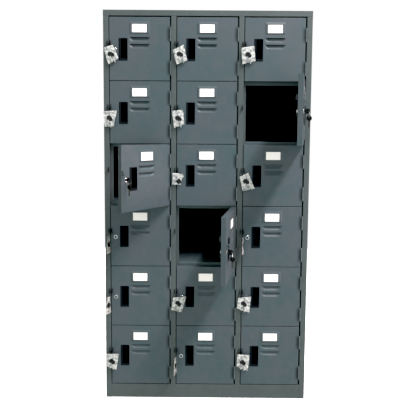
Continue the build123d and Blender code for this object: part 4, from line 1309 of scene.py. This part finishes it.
def bag_film(length, seed, ends, keys):
    """Two sheets sealed at their sides and folded at the bottom, zipped near the top. They
    belly out a little, and more over the keys, with pleats and folds where they are loose."""
    shell = bmesh.new()
    cling = shell.verts.layers.float.new("cling")
    rows, columns = 44, 30
    top_left, top_right, bottom_left, bottom_right, top_slope, bottom_slope = ends
    top_fall = math.tan(math.radians(top_slope))
    bottom_fall = math.tan(math.radians(bottom_slope))
    rings = []
    for j in range(rows + 1):
        down = j / rows
        left = top_left + (bottom_left - top_left) * down
        right = top_right + (bottom_right - top_right) * down
        rings.append([])
        for face, i in ((face, i) for face in (1, -1) for i in range(columns + 1)):
            across = (2 * i / columns - 1) * face
            x = left + (right - left) * (across + 1) / 2
            top = (x - (right if top_fall > 0 else left)) * top_fall
            bottom = (x - (left if bottom_fall > 0 else right)) * bottom_fall - length
            z = top + (bottom - top) * down
            gap, head = near_key(keys, x, z)
            loose = (1 - abs(across) ** 5) * math.sin(math.pi * down) ** 0.5
            belly = FILM_SEAM + FILM_BELLY * loose
            if gap < KEY_ROUND:
                belly = max(belly, KEY_BULGE * min(1, 1 - gap / KEY_ROUND))
            pleat = 1 - 2 * abs(noise.noise(Vector((x / 14, z / 11, seed * 7.3 + face))))
            fold = noise.noise(Vector((x / 21, z / 27, seed * 5.1)))
            seam = min(1, (1 - abs(across)) * 8)
            y = FOLD * fold * seam * (gap > 0) - face * (belly + PLEAT * pleat * seam)
            zipped = ZIP_DOWN[0] < top - z < ZIP_DOWN[1]
            if zipped:
                y -= face * ZIP_PROUD
            wave = WAVE * noise.noise(Vector((z / 20, seed * 3.1, across > 0)))
            rings[-1].append(shell.verts.new((x + wave * (abs(across) > 0.99), y, z)))
            tight = min(max((1.5 - gap) / 2, 0), 1) * (1 if head else 0.3)
            rings[-1][-1][cling] = 0 if zipped else tight
    return skin(shell, rings, (-1,))


FILM = zip_film("Polyethylene film, key bags", "#CFCFCE", "#85888B")
ring = split_ring(DOOR_EYE_X, -EYE_HOLE_OUT, BAG_RING_TOP, BAG_RING)
hang(settle(shaped("ring", ring, DARK_STEEL)), "bag_ring", spots=[*FLAT_BAGS, *TURNED_BAGS])
for seed, spot in enumerate([*FLAT_BAGS, *TURNED_BAGS]):
    length = BAG_FOLDED if spot == FOLDED_BAG else BAG_LENGTH
    ends = FILM_ENDS.get(spot, TURNED_ENDS)
    keys = bag_keys(spot, sum(ends[:4]) / 4)
    bag_heads, bag_blades = bmesh.new(), bmesh.new()
    for (kx, kz, swing), ky in zip(keys, (-BAG_KEY_OUT, BAG_KEY_OUT)):
        s, c = math.sin(math.radians(swing)), math.cos(math.radians(swing))
        # a key drawn along +X, flat in the bag with its blade down
        place = Matrix(((s, c, 0, kx), (0, 0, -1, ky), (-c, s, 0, kz), (0, 0, 0, 1)))
        key_head(bag_heads, place, thickness=BAG_HEAD)
        key_blade(bag_blades, place, BLADE_LENGTH, thickness=BAG_BLADE)
    for name, shell, finish in (("bag_film", bag_film(length, seed, ends, keys), FILM),
                                ("bag_key_heads", bag_heads, HEAD_ABS),
                                ("bag_key_blades", bag_blades, KEY_NICKEL)):
        piece = settle(shaped(name, shell, finish), soft_angle=50)
        piece.data.transform(bag_stand(spot))
        hang(piece, name, spots=[spot])

# --- Studio ----------------------------------------------------------------------------------
# A white sweep, a long tube high on the right in front, a soft window low on the right and a
# large soft light behind, which fills the back. The camera stands at chest height, a little
# above the middle of the front.

camera_data = bpy.data.cameras.new("Camera")
camera = put("Camera", camera_data)
bpy.context.scene.camera = camera
camera_data.sensor_width = 36
camera_data.lens = 36.97
camera_data.shift_x = -0.0058
camera_data.shift_y = -0.094
camera.location = (0.0057, -2.1748, 1.2569)
camera.rotation_euler = (math.radians(90 - 3.984), math.radians(-0.411), math.radians(0.185))
camera_data.clip_end = 100

FRONT_WALL = (1.10, 1.26, 1.26, 1)
SIDE_WALL = (0.73, 0.64, 0.42, 1)
BEHIND = 0.12


def room():
    """White to the camera, and to the cabinet a pale blue wall in front, tan ones beside it
    and shade behind."""
    world = bpy.data.worlds.new("Studio")
    world.use_nodes = True
    tree = world.node_tree
    around = tree.nodes["Background"]
    aim = add(tree, "ShaderNodeTexCoord").outputs["Generated"]
    ahead = add(tree, "ShaderNodeSeparateXYZ", {"Vector": aim}).outputs["Y"]
    share = add(tree, "ShaderNodeMapRange", {"Value": ahead, "From Min": -0.2,
                                             "From Max": -1.0}, interpolation_type="SMOOTHSTEP")
    walls = add(tree, "ShaderNodeMix", {"Factor": share.outputs[0], "A": SIDE_WALL,
                                        "B": FRONT_WALL}, data_type="RGBA")
    shade = add(tree, "ShaderNodeMapRange", {"Value": ahead, "From Min": 0.0, "From Max": 0.4,
                                             "To Min": 1.0, "To Max": BEHIND})
    feed(tree, around, {"Color": walls.outputs["Result"], "Strength": shade.outputs[0]})
    white = add(tree, "ShaderNodeBackground", {"Color": (1, 1, 1, 1), "Strength": 1.0})
    seen = add(tree, "ShaderNodeLightPath").outputs["Is Camera Ray"]
    both = add(tree, "ShaderNodeMixShader", {0: seen, 1: around.outputs[0],
                                             2: white.outputs[0]})
    feed(tree, tree.nodes["World Output"], {"Surface": both.outputs[0]})
    return world


def soft_light(name, place, aim, width, height, energy, colour):
    """A rectangular area light aimed at a point, in metres and watts."""
    data = bpy.data.lights.new(name, "AREA")
    data.shape = "RECTANGLE"
    data.size = width
    data.size_y = height
    data.energy = energy
    data.color = colour
    lamp = put(name, data)
    lamp.location = place
    lamp.rotation_euler = (Vector(aim) - lamp.location).to_track_quat("-Z", "Y").to_euler()


def pale_floor():
    """Matt white floor, 1 mm under the cabinet's feet. It throws no light on the cabinet."""
    mesh = bpy.data.meshes.new("Floor")
    mesh.from_pydata([(-2.5, -2, -0.001), (2.5, -2, -0.001), (2.5, 2.5, -0.001),
                      (-2.5, 2.5, -0.001)], [], [(0, 1, 2, 3)])
    material = bpy.data.materials.new("White floor paint")
    material.use_nodes = True
    tree = material.node_tree
    # a light box under the sheet burns its shadows out
    feed(tree, tree.nodes["Principled BSDF"],
         {"Base Color": (0.92, 0.92, 0.92, 1), "Roughness": 0.9,
          "Emission Color": (1, 1, 1, 1), "Emission Strength": 0.8})
    mesh.materials.append(material)
    floor = put("Floor", mesh)
    floor.visible_diffuse = False
    floor.visible_glossy = False


bpy.context.scene.world = room()
pale_floor()
soft_light("Ceiling tube", (2.42, -2.35, 5.7), (2.42, -2.35, 0), 0.35, 3.2, 760,
           (1.0, 0.93, 0.95))
soft_light("Window", (2.2, -0.4, 0.55), (-0.3, -0.3, 0.9), 1.0, 1.1, 26, (1.0, 0.82, 0.86))
soft_light("Fill behind", (-2.3, 3.0, 1.7), (-0.1, 0.2, 0.9), 2.2, 2.2, 210, (0.95, 0.98, 1.0))
# the look of a printed catalogue: whites burnt out and the deepest shadows closed
view = bpy.context.scene.view_settings
view.view_transform = "Standard"
view.use_curve_mapping = True
view.curve_mapping.black_level = (0.016, 0.016, 0.016)
view.curve_mapping.update()
